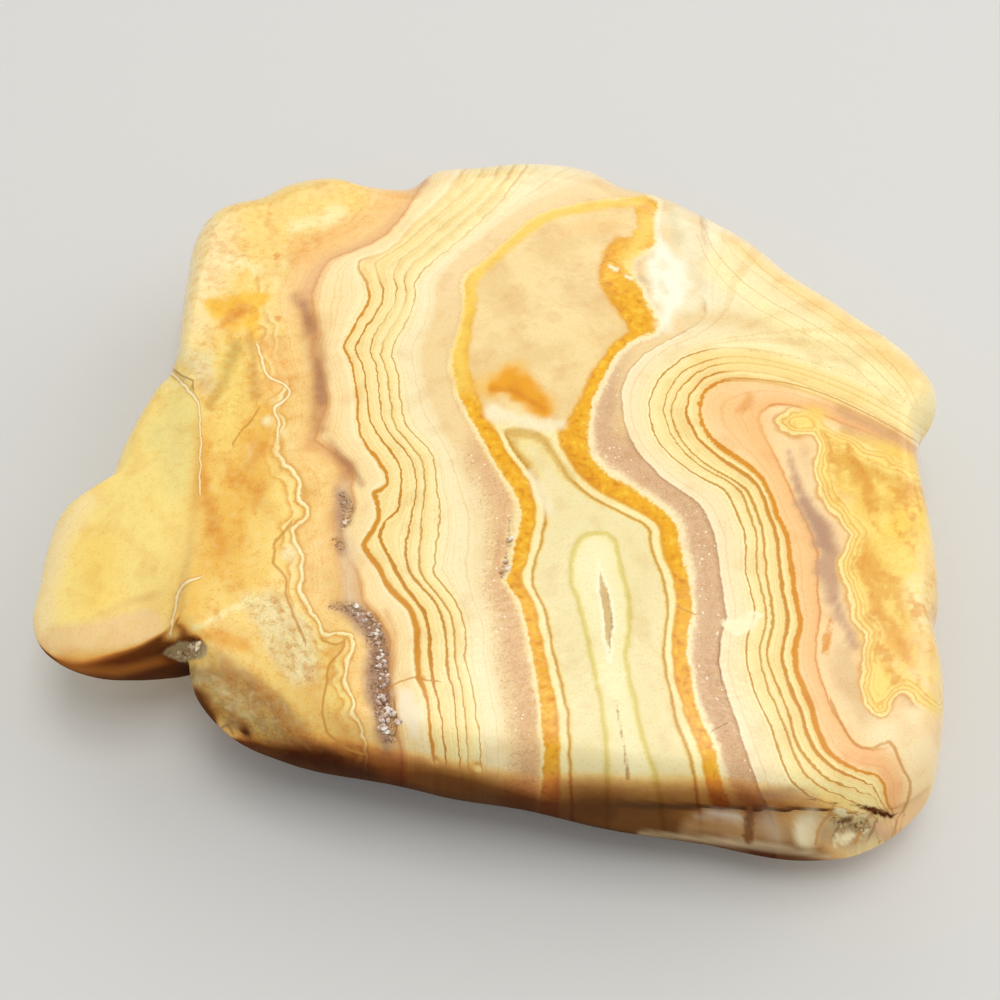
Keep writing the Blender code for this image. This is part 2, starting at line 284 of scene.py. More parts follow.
def seenAt(places):
    # where each place shows in the reference view
    away = places - np.array(view["eye"])
    fall, rise = math.cos(view["tilt"]), math.sin(view["tilt"])
    depth = away[:, 1] * rise - away[:, 2] * fall
    u = view["middle"] + view["reach"] * away[:, 0] / depth
    v = view["middle"] - view["reach"] * (away[:, 1] * fall + away[:, 2] * rise) / depth
    return u, v


# the stone's bands, from the slit in its heart outwards: each line's place in the growth, and its run
coreLines = {
    "greenLine": (20, [(607, 830), (607, 780), (605, 740), (602, 715), (599, 695), (595, 675), (592, 658),
        (588, 640), (583, 618), (578, 600), (572, 586), (570, 570), (573, 555), (577, 541), (583, 535),
        (595, 532), (608, 533), (616, 541), (619, 558), (624, 578), (629, 600), (630, 620), (628, 638),
        (626, 656), (629, 676), (634, 697), (638, 718), (643, 738), (650, 758), (656, 778), (664, 830)]),
    "thinLine": (52, [(573, 830), (571, 785), (570, 760), (569, 735), (568, 715), (565, 700), (561, 682),
        (557, 666), (552, 650), (551, 636), (547, 620), (543, 606), (537, 595), (532, 584), (532, 573),
        (536, 560), (540, 545), (544, 528), (546, 514), (544, 500), (539, 489), (534, 478), (526, 467),
        (518, 458), (511, 448), (505, 437), (506, 431), (520, 431), (536, 434), (546, 440), (553, 450),
        (561, 464), (571, 478), (583, 490), (597, 500), (612, 508), (628, 516), (643, 523), (651, 530),
        (651, 546), (656, 561), (662, 574), (665, 588), (667, 603), (668, 615), (666, 628), (664, 642),
        (663, 657), (666, 672), (669, 687), (672, 700), (675, 714), (680, 730), (686, 745), (690, 758),
        (694, 775), (700, 830)]),
    "ochreInner": (62, [(556, 830), (558, 790), (559, 762), (558, 740), (557, 720), (555, 702), (551, 681),
        (546, 661), (541, 640), (538, 621), (532, 601), (524, 588), (520, 579), (526, 562), (531, 540),
        (534, 520), (534, 500), (528, 480), (517, 465), (508, 455), (502, 444), (496, 432), (488, 420),
        (482, 408), (477, 394), (473, 380), (468, 365), (468, 350), (470, 335), (473, 316), (475, 300),
        (474, 287), (484, 273), (498, 260), (513, 247), (525, 236), (538, 226), (553, 218), (574, 213),
        (597, 209), (622, 206), (634, 206), (637, 216), (637, 230), (632, 237), (618, 238), (608, 244),
        (604, 254), (600, 268), (600, 282), (607, 296), (616, 310), (626, 322), (630, 331), (620, 339),
        (609, 349), (601, 360), (593, 372), (588, 384), (582, 396), (576, 408), (567, 420), (560, 432),
        (560, 445), (567, 457), (576, 470), (588, 483), (603, 493), (620, 502), (638, 511), (654, 521),
        (661, 531), (661, 545), (665, 558), (671, 570), (674, 581), (676, 594), (678, 606), (675, 619),
        (673, 633), (672, 647), (673, 661), (675, 676), (679, 691), (683, 705), (686, 717), (691, 729),
        (698, 742), (702, 756), (704, 770), (708, 786), (718, 830)]),
    "ochreOuter": (78, [(538, 830), (541, 790), (543, 765), (543, 745), (541, 725), (540, 704), (537, 683),
        (533, 662), (529, 641), (525, 621), (520, 603), (512, 591), (504, 580), (511, 571), (512, 560),
        (515, 546), (519, 531), (521, 516), (519, 504), (513, 491), (505, 479), (498, 469), (491, 456),
        (484, 442), (477, 430), (470, 418), (463, 405), (458, 394), (457, 380), (452, 366), (454, 352),
        (458, 340), (463, 325), (466, 310), (466, 297), (463, 284), (468, 276), (481, 266), (495, 254),
        (509, 242), (521, 231), (532, 221), (548, 213), (572, 207), (596, 203), (622, 200), (645, 196),
        (659, 202), (656, 215), (653, 229), (656, 242), (648, 250), (632, 254), (624, 262), (631, 273),
        (640, 285), (646, 300), (654, 313), (661, 326), (654, 333), (640, 337), (628, 343), (618, 353),
        (609, 365), (603, 378), (597, 391), (592, 404), (589, 418), (590, 432), (589, 445), (592, 457),
        (602, 469), (614, 478), (628, 485), (642, 495), (656, 505), (668, 514), (676, 525), (679, 538),
        (682, 551), (685, 564), (688, 577), (690, 590), (692, 603), (693, 613), (690, 624), (688, 636),
        (687, 650), (688, 663), (691, 677), (694, 691), (697, 705), (700, 717), (706, 729), (712, 741),
        (716, 755), (719, 770), (723, 786), (736, 830)]),
}
leftLines = {
    "mauveInner": (82, [(650, 120), (648, 192), (620, 196), (594, 199), (568, 204), (545, 210), (530, 218),
        (518, 229), (505, 241), (491, 252), (477, 263), (463, 274), (458, 285), (461, 298), (461, 312),
        (457, 326), (452, 340), (447, 354), (446, 368), (451, 384), (453, 398), (459, 410), (466, 423),
        (474, 436), (481, 448), (488, 460), (496, 472), (502, 482), (508, 494), (512, 506), (511, 520),
        (506, 534), (507, 548), (502, 560), (503, 572), (498, 578), (505, 588), (513, 600), (519, 618),
        (523, 640), (527, 660), (531, 680), (535, 700), (537, 720), (538, 742), (539, 765), (538, 788),
        (534, 830)]),
    "mauveOuter": (106, [(640, 120), (640, 186), (610, 189), (580, 193), (552, 200), (530, 208), (512, 218),
        (496, 230), (480, 243), (464, 256), (450, 270), (441, 284), (440, 298), (440, 312), (436, 326),
        (431, 340), (427, 355), (428, 372), (433, 388), (438, 402), (444, 416), (450, 430), (458, 445),
        (466, 460), (474, 476), (481, 492), (488, 508), (492, 524), (493, 542), (492, 558), (489, 572),
        (484, 586), (489, 602), (495, 618), (497, 640), (499, 660), (502, 680), (506, 700), (510, 720),
        (511, 742), (511, 765), (508, 788), (504, 830)]),
    "fifthLine": (140, [(560, 120), (520, 176), (498, 205), (476, 226), (456, 243), (438, 258), (422, 272),
        (413, 286), (415, 298), (411, 312), (402, 330), (393, 346), (392, 356), (396, 368), (399, 385),
        (401, 402), (404, 420), (412, 433), (424, 444), (433, 455), (436, 470), (436, 488), (440, 506),
        (440, 522), (437, 540), (435, 558), (434, 574), (443, 585), (453, 598), (460, 612), (465, 630),
        (467, 645), (465, 656), (469, 672), (473, 692), (476, 712), (479, 732), (481, 756), (483, 790),
        (484, 830)]),
    "fourthLine": (151, [(545, 120), (505, 180), (486, 202), (466, 220), (446, 237), (428, 252), (411, 266),
        (404, 280), (407, 293), (404, 308), (393, 326), (383, 343), (381, 354), (386, 368), (389, 385),
        (391, 404), (394, 422), (402, 435), (414, 449), (422, 462), (424, 480), (424, 496), (422, 514),
        (421, 534), (419, 552), (420, 570), (428, 583), (438, 595), (447, 608), (453, 624), (455, 640),
        (454, 658), (459, 678), (463, 698), (465, 718), (466, 738), (468, 760), (470, 790), (471, 830)]),
    "thirdLine": (160, [(530, 120), (492, 180), (474, 200), (455, 216), (435, 232), (417, 247), (400, 260),
        (393, 272), (397, 290), (394, 305), (383, 322), (372, 340), (370, 352), (376, 365), (378, 385),
        (380, 404), (383, 421), (391, 435), (403, 448), (412, 461), (416, 476), (416, 496), (412, 515),
        (408, 534), (405, 552), (410, 573), (420, 585), (431, 597), (441, 613), (445, 630), (446, 648),
        (447, 664), (451, 684), (455, 704), (457, 724), (458, 742), (460, 762), (462, 790), (463, 830)]),
    "secondLine": (173, [(512, 120), (476, 180), (458, 198), (441, 212), (424, 227), (407, 241), (390, 253),
        (376, 262), (377, 274), (384, 291), (381, 304), (371, 320), (361, 336), (355, 350), (362, 364),
        (366, 385), (368, 404), (371, 421), (379, 436), (391, 452), (399, 464), (402, 478), (401, 494),
        (398, 510), (385, 522), (380, 537), (386, 551), (394, 566), (401, 580), (411, 594), (421, 608),
        (427, 622), (430, 640), (430, 660), (432, 680), (437, 694), (440, 714), (443, 736), (446, 762),
        (448, 790), (449, 830)]),
    "firstLine": (186, [(495, 120), (460, 176), (446, 194), (432, 209), (418, 220), (404, 235), (390, 250),
        (372, 256), (359, 260), (360, 271), (367, 283), (370, 296), (364, 311), (355, 325), (348, 339),
        (344, 347), (350, 359), (354, 374), (357, 393), (358, 415), (361, 436), (369, 449), (379, 461),
        (386, 473), (388, 484), (380, 490), (374, 493), (378, 505), (377, 522), (370, 535), (363, 545),
        (370, 557), (380, 569), (386, 583), (396, 595), (409, 608), (416, 624), (418, 645), (417, 665),
        (418, 678), (425, 690), (428, 710), (431, 736), (434, 760), (436, 790), (437, 830)]),
    "druseInner": (216, [(440, 120), (428, 176), (413, 200), (398, 222), (380, 239), (357, 250), (334, 258),
        (322, 272), (315, 288), (313, 304), (316, 322), (317, 337), (312, 350), (319, 364), (323, 380),
        (327, 396), (325, 412), (318, 428), (316, 440), (330, 450), (344, 461), (353, 474), (352, 488),
        (355, 502), (351, 514), (343, 527), (345, 542), (348, 556), (357, 569), (362, 584), (364, 600),
        (374, 611), (384, 624), (391, 641), (388, 660), (385, 676), (396, 690), (395, 704), (398, 718),
        (398, 732), (402, 746), (404, 765), (403, 785), (401, 830)]),
    "druseOuter": (250, [(410, 120), (404, 178), (394, 202), (378, 224), (357, 237), (333, 246), (312, 256),
        (302, 271), (294, 285), (289, 296), (292, 313), (297, 327), (301, 342), (304, 358), (307, 374),
        (309, 392), (310, 410), (308, 427), (300, 438), (303, 449), (319, 457), (332, 467), (337, 480),
        (333, 494), (328, 510), (323, 528), (326, 546), (329, 562), (331, 578), (330, 592), (322, 602),
        (330, 612), (345, 621), (357, 634), (361, 650), (362, 668), (361, 684), (369, 700), (377, 714),
        (375, 728), (376, 742), (378, 758), (378, 780), (376, 830)]),
    "scallop": (280, [(350, 120), (345, 185), (330, 215), (305, 235), (290, 250), (284, 266), (277, 280),
        (270, 300), (272, 318), (280, 335), (276, 350), (283, 366), (290, 380), (284, 393), (277, 404),
        (282, 418), (281, 432), (278, 442), (280, 454), (286, 466), (295, 474), (300, 485), (302, 496),
        (308, 507), (306, 519), (296, 531), (297, 544), (304, 556), (303, 570), (303, 582), (303, 592),
        (309, 604), (317, 616), (321, 628), (328, 636), (342, 631), (353, 634), (357, 645), (353, 657),
        (347, 668), (346, 680), (351, 693), (356, 704), (355, 716), (362, 730), (366, 746), (369, 770),
        (370, 830)]),
}
rightLines = {
    "mauveInner": (82, [(650, 120), (652, 192), (664, 200), (661, 216), (659, 230), (664, 244), (652, 256),
        (636, 261), (637, 272), (645, 284), (651, 298), (660, 311), (668, 327), (657, 339), (643, 343),
        (632, 349), (623, 358), (614, 370), (608, 382), (602, 394), (597, 407), (594, 420), (595, 434),
        (595, 446), (600, 456), (610, 465), (622, 472), (636, 481), (650, 491), (664, 500), (676, 510),
        (684, 522), (688, 536), (690, 549), (693, 562), (695, 576), (696, 590), (697, 604), (697, 616),
        (695, 628), (693, 642), (693, 658), (695, 672), (698, 687), (701, 701), (706, 714), (713, 727),
        (719, 741), (723, 755), (727, 771), (733, 788), (748, 830)]),
    "mauveOuter": (112, [(700, 120), (700, 200), (704, 250), (700, 290), (706, 312), (688, 330), (664, 341),
        (644, 354), (631, 368), (623, 384), (621, 400), (623, 416), (627, 432), (635, 448), (648, 463),
        (661, 477), (676, 488), (692, 498), (704, 512), (712, 528), (716, 545), (718, 562), (721, 580),
        (724, 600), (726, 618), (722, 633), (720, 650), (720, 666), (723, 683), (728, 700), (735, 718),
        (740, 735), (746, 752), (752, 770), (758, 788), (774, 830)]),
    "firstLine": (138, [(990, 450), (940, 428), (905, 405), (865, 384), (820, 366), (780, 355), (745, 349),
        (718, 348), (700, 352), (680, 360), (664, 374), (653, 391), (649, 406), (650, 420), (655, 435),
        (665, 450), (680, 463), (700, 477), (722, 488), (732, 500), (738, 516), (745, 532), (746, 548),
        (745, 562), (748, 580), (753, 597), (754, 614), (749, 632), (746, 650), (748, 668), (753, 687),
        (760, 704), (770, 724), (777, 745), (783, 763), (791, 780), (806, 793), (826, 802), (846, 808),
        (866, 818), (880, 840)]),
    "secondLine": (150, [(990, 458), (938, 437), (900, 413), (860, 391), (818, 374), (780, 363), (745, 357),
        (718, 358), (700, 363), (684, 371), (672, 385), (664, 401), (665, 416), (672, 435), (685, 452),
        (704, 468), (727, 480), (741, 492), (747, 507), (753, 523), (757, 540), (756, 560), (758, 580),
        (764, 598), (767, 617), (763, 636), (760, 654), (763, 672), (769, 691), (777, 710), (785, 727),
        (790, 744), (797, 760), (806, 775), (825, 790), (848, 800), (868, 810), (884, 836)]),
    "thirdLine": (158, [(990, 464), (935, 443), (897, 419), (857, 396), (816, 379), (780, 368), (745, 363),
        (720, 364), (704, 369), (690, 378), (679, 391), (671, 405), (672, 419), (680, 438), (694, 455),
        (714, 470), (736, 482), (748, 492), (754, 505), (760, 521), (764, 540), (765, 561), (768, 580),
        (771, 600), (773, 617), (770, 636), (767, 654), (771, 671), (779, 690), (788, 710), (793, 732),
        (800, 749), (812, 764), (831, 780), (856, 788), (876, 798), (888, 830)]),
    "fourthLine": (172, [(990, 474), (932, 450), (893, 426), (853, 403), (812, 387), (780, 376), (748, 371),
        (722, 372), (707, 377), (697, 385), (689, 396), (686, 408), (689, 422), (698, 438), (712, 452),
        (732, 466), (750, 478), (761, 491), (766, 505), (771, 520), (777, 540), (778, 562), (782, 584),
        (785, 604), (788, 621), (784, 640), (782, 656), (786, 675), (792, 694), (802, 714), (807, 734),
        (818, 754), (835, 769), (857, 779), (872, 788), (880, 800), (892, 826)]),
    "fifthLine": (182, [(990, 486), (925, 454), (900, 437), (875, 422), (848, 409), (820, 397), (790, 387),
        (760, 381), (732, 379), (714, 384), (702, 396), (699, 410), (702, 424), (712, 440), (728, 452),
        (746, 464), (763, 480), (772, 499), (778, 518), (787, 535), (790, 558), (793, 582), (797, 603),
        (801, 620), (797, 640), (795, 662), (802, 684), (810, 704), (816, 724), (823, 744), (833, 756),
        (846, 765), (864, 773), (878, 775), (885, 786), (886, 800), (896, 822)]),
    "peachOuter": (202, [(990, 500), (930, 468), (905, 452), (875, 436), (845, 424), (815, 412), (790, 405),
        (770, 405), (760, 414), (762, 430), (770, 446), (778, 462), (786, 480), (794, 498), (802, 514),
        (810, 530), (817, 548), (818, 570), (818, 592), (820, 612), (817, 634), (816, 656), (820, 676),
        (826, 695), (833, 712), (843, 725), (851, 740), (860, 747), (873, 749), (886, 748), (892, 741),
        (898, 753), (904, 767), (911, 785), (908, 800), (903, 815), (900, 826)]),
}
# where the left side meets the right
divide = [(650, 100), (650, 205), (640, 240), (600, 300), (545, 430), (600, 560), (612, 700), (630, 900)]

crispBelow = 4  # washes with less softness than this are drawn in the material
farOutside = -60.0
leastFacing = 0.1  # how squarely the skin faces the view where it has dents and crystals
tiny = 1e-6  # the least that anything is divided by

# stains, patches, painted shade and painted light, the later over the earlier: colour, softness, raggedness,
# strength, and runs of x, y, radius; the ones with no colour only say where something else is faint or strong
washes = {
    "lobe": ((254, 229, 142), 22, 6, 1.0, [[(60, 630, 40), (110, 560, 55), (150, 470, 45), (172, 415, 26)]]),
    "lobeGreen": ((237, 221, 146), 14, 8, 0.85, [[(176, 388, 14), (182, 440, 18), (176, 482, 14)],
        [(158, 432, 10)]]),
    "lobeDeep": ((254, 218, 112), 20, 8, 0.8, [[(96, 555, 22), (98, 600, 16)]]),
    # painted light: paler cream where the lobe's rolled rim catches the light
    "lobeRim": ((252, 229, 174), 11, 3, 1.0, [[(38, 640, 13), (44, 590, 13), (58, 540, 11), (86, 500, 8)]]),
    "lobeFoot": ((243, 208, 152), 6, 3, 0.95, [[(56, 642, 15), (100, 636, 16), (146, 626, 17)]]),
    # painted shade along the lobe's hollow
    "lobeTan": ((226, 186, 116), 5, 2, 0.5, [[(92, 618, 2), (130, 603, 3), (160, 593, 3)]]),
    # painted shade: orange-brown where the lobe's front turns down, under the flanks' painted shade
    "lobeFront": ((232, 168, 76), 9, 2, 0.85, [[(66, 668, 16), (120, 672, 18), (165, 662, 14)]]),
    # the shoulder's cream, lighter in part as a painted reflection where the top-left edge rolls away
    "shoulderCream": ((252, 230, 172), 20, 6, 1.0, [[(210, 235, 26), (200, 285, 28), (192, 335, 16)]]),
    "shoulderYellow": ((250, 214, 116), 16, 12, 0.9, [[(248, 240, 16), (290, 214, 22), (350, 198, 18)]]),
    "shoulderPale": ((255, 241, 184), 8, 9, 0.9, [[(334, 216, 10), (296, 228, 7)], [(225, 255, 7),
        (262, 272, 5)]]),
    "shoulderPeach": ((246, 192, 110), 11, 5, 0.9, [[(300, 250, 14), (330, 238, 10), (372, 216, 7),
        (400, 192, 7)]]),
    "sunSpot": ((253, 200, 66), 4, 5, 1.0, [[(211, 305, 9), (235, 313, 17), (250, 301, 11), (266, 296, 4)],
        [(252, 318, 9), (254, 336, 4)]]),
    "sunHeart": ((228, 150, 52), 6, 4, 0.85, [[(226, 320, 5), (234, 318, 6), (243, 309, 5)]]),
    "ashPatch": ((236, 222, 176), 8, 5, 0.95, [[(184, 352, 8), (203, 362, 12), (208, 386, 8)]]),
    "strawBand": ((249, 219, 124), 14, 6, 0.9, [[(232, 360, 14), (232, 410, 17), (222, 452, 10)]]),
    "oliveBand": ((206, 170, 84), 5, 4, 0.75, [[(236, 348, 6), (222, 384, 5), (210, 405, 5)]]),
    "amberField": ((242, 190, 84), 16, 7, 0.95, [[(262, 420, 20), (246, 470, 28), (228, 520, 24),
        (232, 566, 22)], [(206, 430, 8), (206, 480, 10), (212, 560, 12), (190, 610, 12)]]),
    "amberPale": ((250, 214, 124), 10, 7, 0.8, [[(270, 505, 12), (262, 530, 10), (254, 560, 12)],
        [(205, 590, 8), (225, 590, 9)]]),
    "amberGlow": ((255, 238, 176), 6, 6, 0.75, [[(252, 446, 3), (248, 462, 4)], [(284, 432, 4),
        (290, 446, 3)], [(222, 236, 5), (238, 230, 4)], [(284, 262, 4), (272, 288, 4)]]),
    "amberDeep": ((226, 154, 48), 9, 7, 0.8, [[(262, 448, 8), (238, 476, 9), (258, 492, 6)], [(204, 440, 4),
        (204, 485, 4), (214, 530, 8), (222, 552, 6)]]),
    "ochreSeam": ((214, 152, 68), 4, 4, 0.75, [[(250, 334, 3), (254, 364, 3), (257, 396, 4)]]),
    "knob": ((249, 200, 122), 7, 5, 0.9, [[(268, 348, 8), (286, 372, 10), (268, 386, 8)]]),
    "island": ((252, 232, 182), 4, 3, 0.95, [[(288, 553, 8)], [(268, 420, 5)]]),
    "duskBand": ((208, 154, 102), 7, 5, 0.85, [[(296, 296, 4), (310, 318, 8), (314, 350, 8), (321, 385, 9),
        (319, 425, 6)], [(331, 446, 5), (350, 468, 6), (342, 488, 7)]]),
    "duskDeep": ((176, 126, 90), 4, 5, 0.8, [[(304, 306, 3), (311, 326, 4)], [(317, 362, 3), (320, 378, 5),
        (323, 400, 5)], [(336, 452, 3), (350, 466, 4), (362, 484, 3)]]),
    "duskPale": ((248, 214, 152), 5, 4, 0.7, [[(304, 344, 3), (306, 368, 4)], [(330, 420, 4),
        (336, 436, 3)]]),
    "ridgeCream": ((252, 238, 178), 3, 2, 0.95, [[(170, 640, 2), (198, 627, 2.5), (230, 611, 3),
        (256, 597, 3)]]),
    "bevelCream": ((246, 228, 178), 8, 4, 0.95, [[(250, 602, 7), (270, 610, 18), (290, 640, 24),
        (304, 672, 16)]]),
    "bevelOchre": ((241, 178, 60), 4, 3, 0.95, [[(203, 632, 4), (222, 637, 7), (246, 648, 5)]]),
    "bevelAmber": ((240, 190, 104), 10, 6, 0.85, [[(308, 692, 12), (322, 712, 14), (350, 742, 12)],
        [(336, 650, 10)]]),
    "facet": ((168, 140, 86), 8, 6, 1.0, [[(190, 676, 12), (208, 688, 20), (232, 700, 28), (256, 716, 27),
        (284, 735, 19), (312, 750, 11), (338, 760, 5)]]),
    "facetPale": ((204, 182, 130), 6, 10, 0.7, [[(200, 680, 8), (222, 690, 10), (250, 706, 10)]]),
    "facetUpper": ((192, 144, 76), 9, 6, 0.85, [[(205, 652, 5), (226, 666, 8), (250, 688, 10),
        (278, 710, 10), (302, 730, 8)]]),
    "facetBrown": ((168, 124, 68), 12, 8, 0.6, [[(212, 668, 6), (238, 682, 8), (262, 700, 8), (278, 714, 6)],
        [(226, 716, 7)]]),
    "snowDust": ((206, 184, 140), 4, 4, 0.7, [[(640, 277, 1), (652, 284, 2), (661, 290, 1)]]),
    # painted shade where the lower left rim rounds down
    "lowerBrown": ((166, 116, 64), 9, 4, 0.8, [[(290, 756, 7), (330, 766, 8), (372, 774, 7)]]),
    "fieldPeach": ((249, 212, 150), 8, 4, 0.7, [[(566, 230, 7), (606, 222, 8), (626, 226, 6)]]),
    "blotchSoft": ((247, 196, 98), 8, 6, 0.8, [[(478, 387, 5), (490, 386, 9), (514, 382, 17),
        (540, 404, 13)]]),
    "blotch": ((238, 166, 32), 5, 8, 1.0, [[(494, 387, 5), (507, 383, 11), (521, 389, 14), (535, 400, 12),
        (543, 411, 7)]]),
    "blotchDeep": ((220, 140, 22), 3, 4, 0.7, [[(492, 389, 2), (512, 390, 3), (532, 402, 3),
        (543, 408, 2)]]),
    "neckWhite": ((251, 239, 208), 4, 3, 0.95, [[(494, 412, 8), (520, 421, 6), (548, 426, 6),
        (562, 424, 4)]]),
    "neckOlive": ((226, 198, 122), 3, 2, 0.65, [[(505, 431, 2), (530, 433, 3), (548, 441, 3), (557, 459, 3),
        (574, 479, 2)]]),
    "topCream": ((248, 238, 208), 10, 4, 0.95, [[(676, 218, 12), (692, 250, 16), (698, 285, 14),
        (690, 312, 12)]]),
    "snow": ((255, 254, 240), 7, 7, 1.0, [[(658, 220, 3), (662, 244, 8), (668, 272, 17), (674, 300, 16),
        (666, 320, 8)], [(652, 262, 5), (658, 296, 8)]]),
    "snowAsh": ((226, 212, 176), 5, 5, 0.7, [[(672, 216, 6), (678, 240, 7)], [(660, 282, 3),
        (666, 292, 3)]]),
    "spotWhite": ((255, 246, 214), 1.6, 2, 0.95, [[(610, 266, 1.2), (617, 270, 2.2)], [(625, 275, 1.4),
        (631, 279, 1.6)]]),
    "slitRim": ((255, 250, 222), 1.5, 1, 0.9, [[(598, 558, 1), (603, 590, 7), (608, 618, 8.5),
        (609, 662, 3)]]),
    "slit": ((214, 184, 128), 1.2, 1, 0.95, [[(600, 572, 1), (604, 593, 3.8), (608, 617, 5), (609, 640, 2.2),
        (609, 653, 0.6)]]),
    "slitDeep": ((172, 138, 88), 1.2, 1, 0.8, [[(606, 592, 0.6), (611, 612, 1.2), (612, 630, 1),
        (610, 650, 0.5)]]),
    "lowerSlit": ((190, 142, 82), 1.1, 1, 0.85, [[(616, 700, 0.8), (620, 724, 1.1), (624, 752, 1.4),
        (629, 778, 2.2)]]),
    # painted shade, a soft tan line along a shallow valley
    "valley": ((236, 208, 152), 8, 3, 0.75, [[(690, 318, 8), (730, 318, 8), (770, 326, 8), (810, 345, 8),
        (850, 362, 6)]]),
    "rimPeach": ((254, 223, 154), 12, 4, 0.85, [[(730, 240, 6), (770, 272, 9), (820, 305, 11),
        (880, 350, 13), (918, 388, 11)]]),
    # painted highlight, pale cream along the right-hand back rim
    "rimCream": ((254, 244, 190), 12, 5, 0.8, [[(716, 264, 12), (780, 320, 9), (850, 356, 7),
        (900, 398, 10)]]),
    "hornWarm": ((253, 224, 150), 8, 4, 0.7, [[(700, 360, 8), (740, 358, 9), (790, 368, 7), (860, 396, 6)]]),
    "peachDeep": ((251, 202, 140), 10, 6, 0.6, [[(722, 408, 14), (756, 424, 14), (776, 480, 9),
        (792, 540, 9), (806, 600, 7), (808, 650, 4)]]),
    "hornPink": ((240, 184, 128), 6, 5, 0.6, [[(812, 404, 5), (838, 413, 8), (880, 437, 9), (918, 458, 7)]]),
    "hornMauve": ((214, 166, 126), 4, 4, 0.6, [[(846, 430, 3), (884, 445, 3), (918, 463, 3)]]),
    "hornRust": ((234, 170, 96), 4, 4, 0.8, [[(750, 398, 3), (746, 405, 4), (741, 411, 2)]]),
    "heart": ((249, 212, 112), 8, 6, 1.0, [[(846, 462, 26), (890, 480, 34), (888, 540, 38), (884, 620, 28),
        (880, 690, 14)], [(792, 424, 11), (815, 418, 11)]]),
    "heartOchre": ((230, 184, 92), 8, 8, 0.8, [[(842, 466, 10), (878, 470, 12), (906, 486, 8)]]),
    "heartAmber": ((238, 176, 84), 7, 8, 0.9, [[(862, 540, 7), (874, 586, 14), (890, 628, 13),
        (905, 662, 10)], [(872, 676, 9)]]),
    "heartMustard": ((232, 178, 76), 12, 8, 0.75, [[(842, 450, 8), (864, 474, 12), (878, 500, 9)],
        [(872, 560, 8), (886, 594, 15), (896, 622, 10)]]),
    "heartYellow": ((252, 218, 100), 8, 8, 0.9, [[(850, 580, 7), (856, 622, 5)], [(896, 530, 14),
        (918, 515, 12)]]),
    "heartCream": ((252, 236, 180), 8, 7, 0.9, [[(916, 584, 10), (924, 622, 9)], [(868, 646, 3),
        (890, 660, 6), (915, 685, 6), (934, 704, 5)]]),
    "secondMauve": ((202, 162, 134), 5, 9, 0.95, [[(789, 452, 3), (797, 482, 6), (806, 508, 8),
        (821, 530, 10), (829, 548, 10), (828, 572, 9), (833, 594, 9), (838, 612, 8), (847, 630, 6),
        (855, 646, 4)]]),
    "secondDusk": ((176, 138, 118), 4, 6, 0.6, [[(803, 500, 3), (818, 526, 5), (829, 548, 5)],
        [(832, 592, 3), (838, 608, 4)]]),
    "secondPink": ((240, 208, 162), 4, 3, 0.85, [[(803, 450, 6), (808, 474, 4)]]),
    "rightBeige": ((230, 198, 152), 8, 4, 0.8, [[(842, 656, 10), (848, 684, 12), (868, 716, 10)]]),
    "rightBuff": ((255, 234, 192), 12, 4, 0.95, [[(880, 732, 10), (918, 752, 20), (922, 800, 16)],
        [(910, 716, 10)]]),
    "peachFoot": ((250, 192, 134), 5, 3, 0.95, [[(850, 757, 7), (880, 763, 8), (894, 785, 8),
        (892, 806, 5)]]),
    "mauvePatch": ((212, 172, 134), 6, 4, 0.8, [[(898, 684, 5), (913, 699, 5)]]),
    "flecks": ((228, 152, 48), 2, 3, 0.9, [[(832, 620, 3), (828, 634, 4), (825, 652, 4)], [(871, 596, 4)],
        [(276, 256, 5)], [(278, 318, 4)], [(421, 679, 4)]]),
    "tipMilk": ((250, 238, 206), 5, 4, 0.85, [[(531, 474, 3), (540, 490, 5), (550, 512, 6)]]),
    "foldMauve": ((214, 166, 122), 4, 4, 0.75, [[(838, 409, 3), (866, 421, 5), (892, 435, 5),
        (914, 450, 3)]]),
    "tailYellow": ((252, 218, 124), 5, 4, 0.9, [[(884, 660, 4), (905, 680, 5), (925, 698, 6),
        (938, 712, 5)]]),
    "tailMauve": ((208, 172, 132), 4, 4, 0.7, [[(903, 684, 3), (911, 694, 4), (916, 703, 3)]]),
    "lineFade": (None, 12, 4, 0.75, [[(380, 262, 20), (425, 235, 30), (480, 195, 26)], [(400, 310, 14),
        (384, 335, 8)], [(720, 340, 14), (745, 362, 18), (800, 378, 26), (870, 404, 26), (925, 432, 20)]]),
    "lineBold": (None, 30, 4, 1.0, [[(372, 480, 14), (366, 545, 20), (406, 604, 28), (424, 660, 22)],
        [(700, 430, 8), (744, 470, 14), (780, 540, 24), (796, 640, 34), (820, 740, 40)]]),
    "mauveFade": (None, 14, 6, 0.95, [[(470, 190, 40), (440, 260, 34), (440, 350, 28), (452, 430, 20)],
        [(610, 192, 20), (560, 204, 22), (510, 230, 24), (470, 262, 20)], [(650, 250, 20), (652, 300, 22),
        (664, 330, 14)], [(620, 170, 30), (690, 220, 50), (700, 290, 50), (650, 370, 26), (630, 420, 14)]]),
    "yellowBand": (None, 10, 5, 0.85, [[(640, 196, 10), (590, 205, 12), (533, 222, 14), (488, 262, 14),
        (470, 300, 10), (458, 350, 8), (462, 385, 5)], [(648, 225, 12), (630, 262, 8)]]),
    "fringeFade": (None, 8, 4, 1.0, [[(796, 402, 8), (850, 426, 9), (925, 462, 12), (960, 480, 12)],
        [(905, 716, 12), (945, 724, 14)]]),
    # where the flanks' painted shade is weaker
    "flankFade": (None, 6, 0, 0.8, [[(172, 634, 8)], [(228, 728, 14)]]),
    "scallopFade": (None, 10, 5, 1.0, [[(400, 170, 40), (330, 215, 40), (285, 262, 26), (275, 300, 14),
        (285, 335, 8)]]),
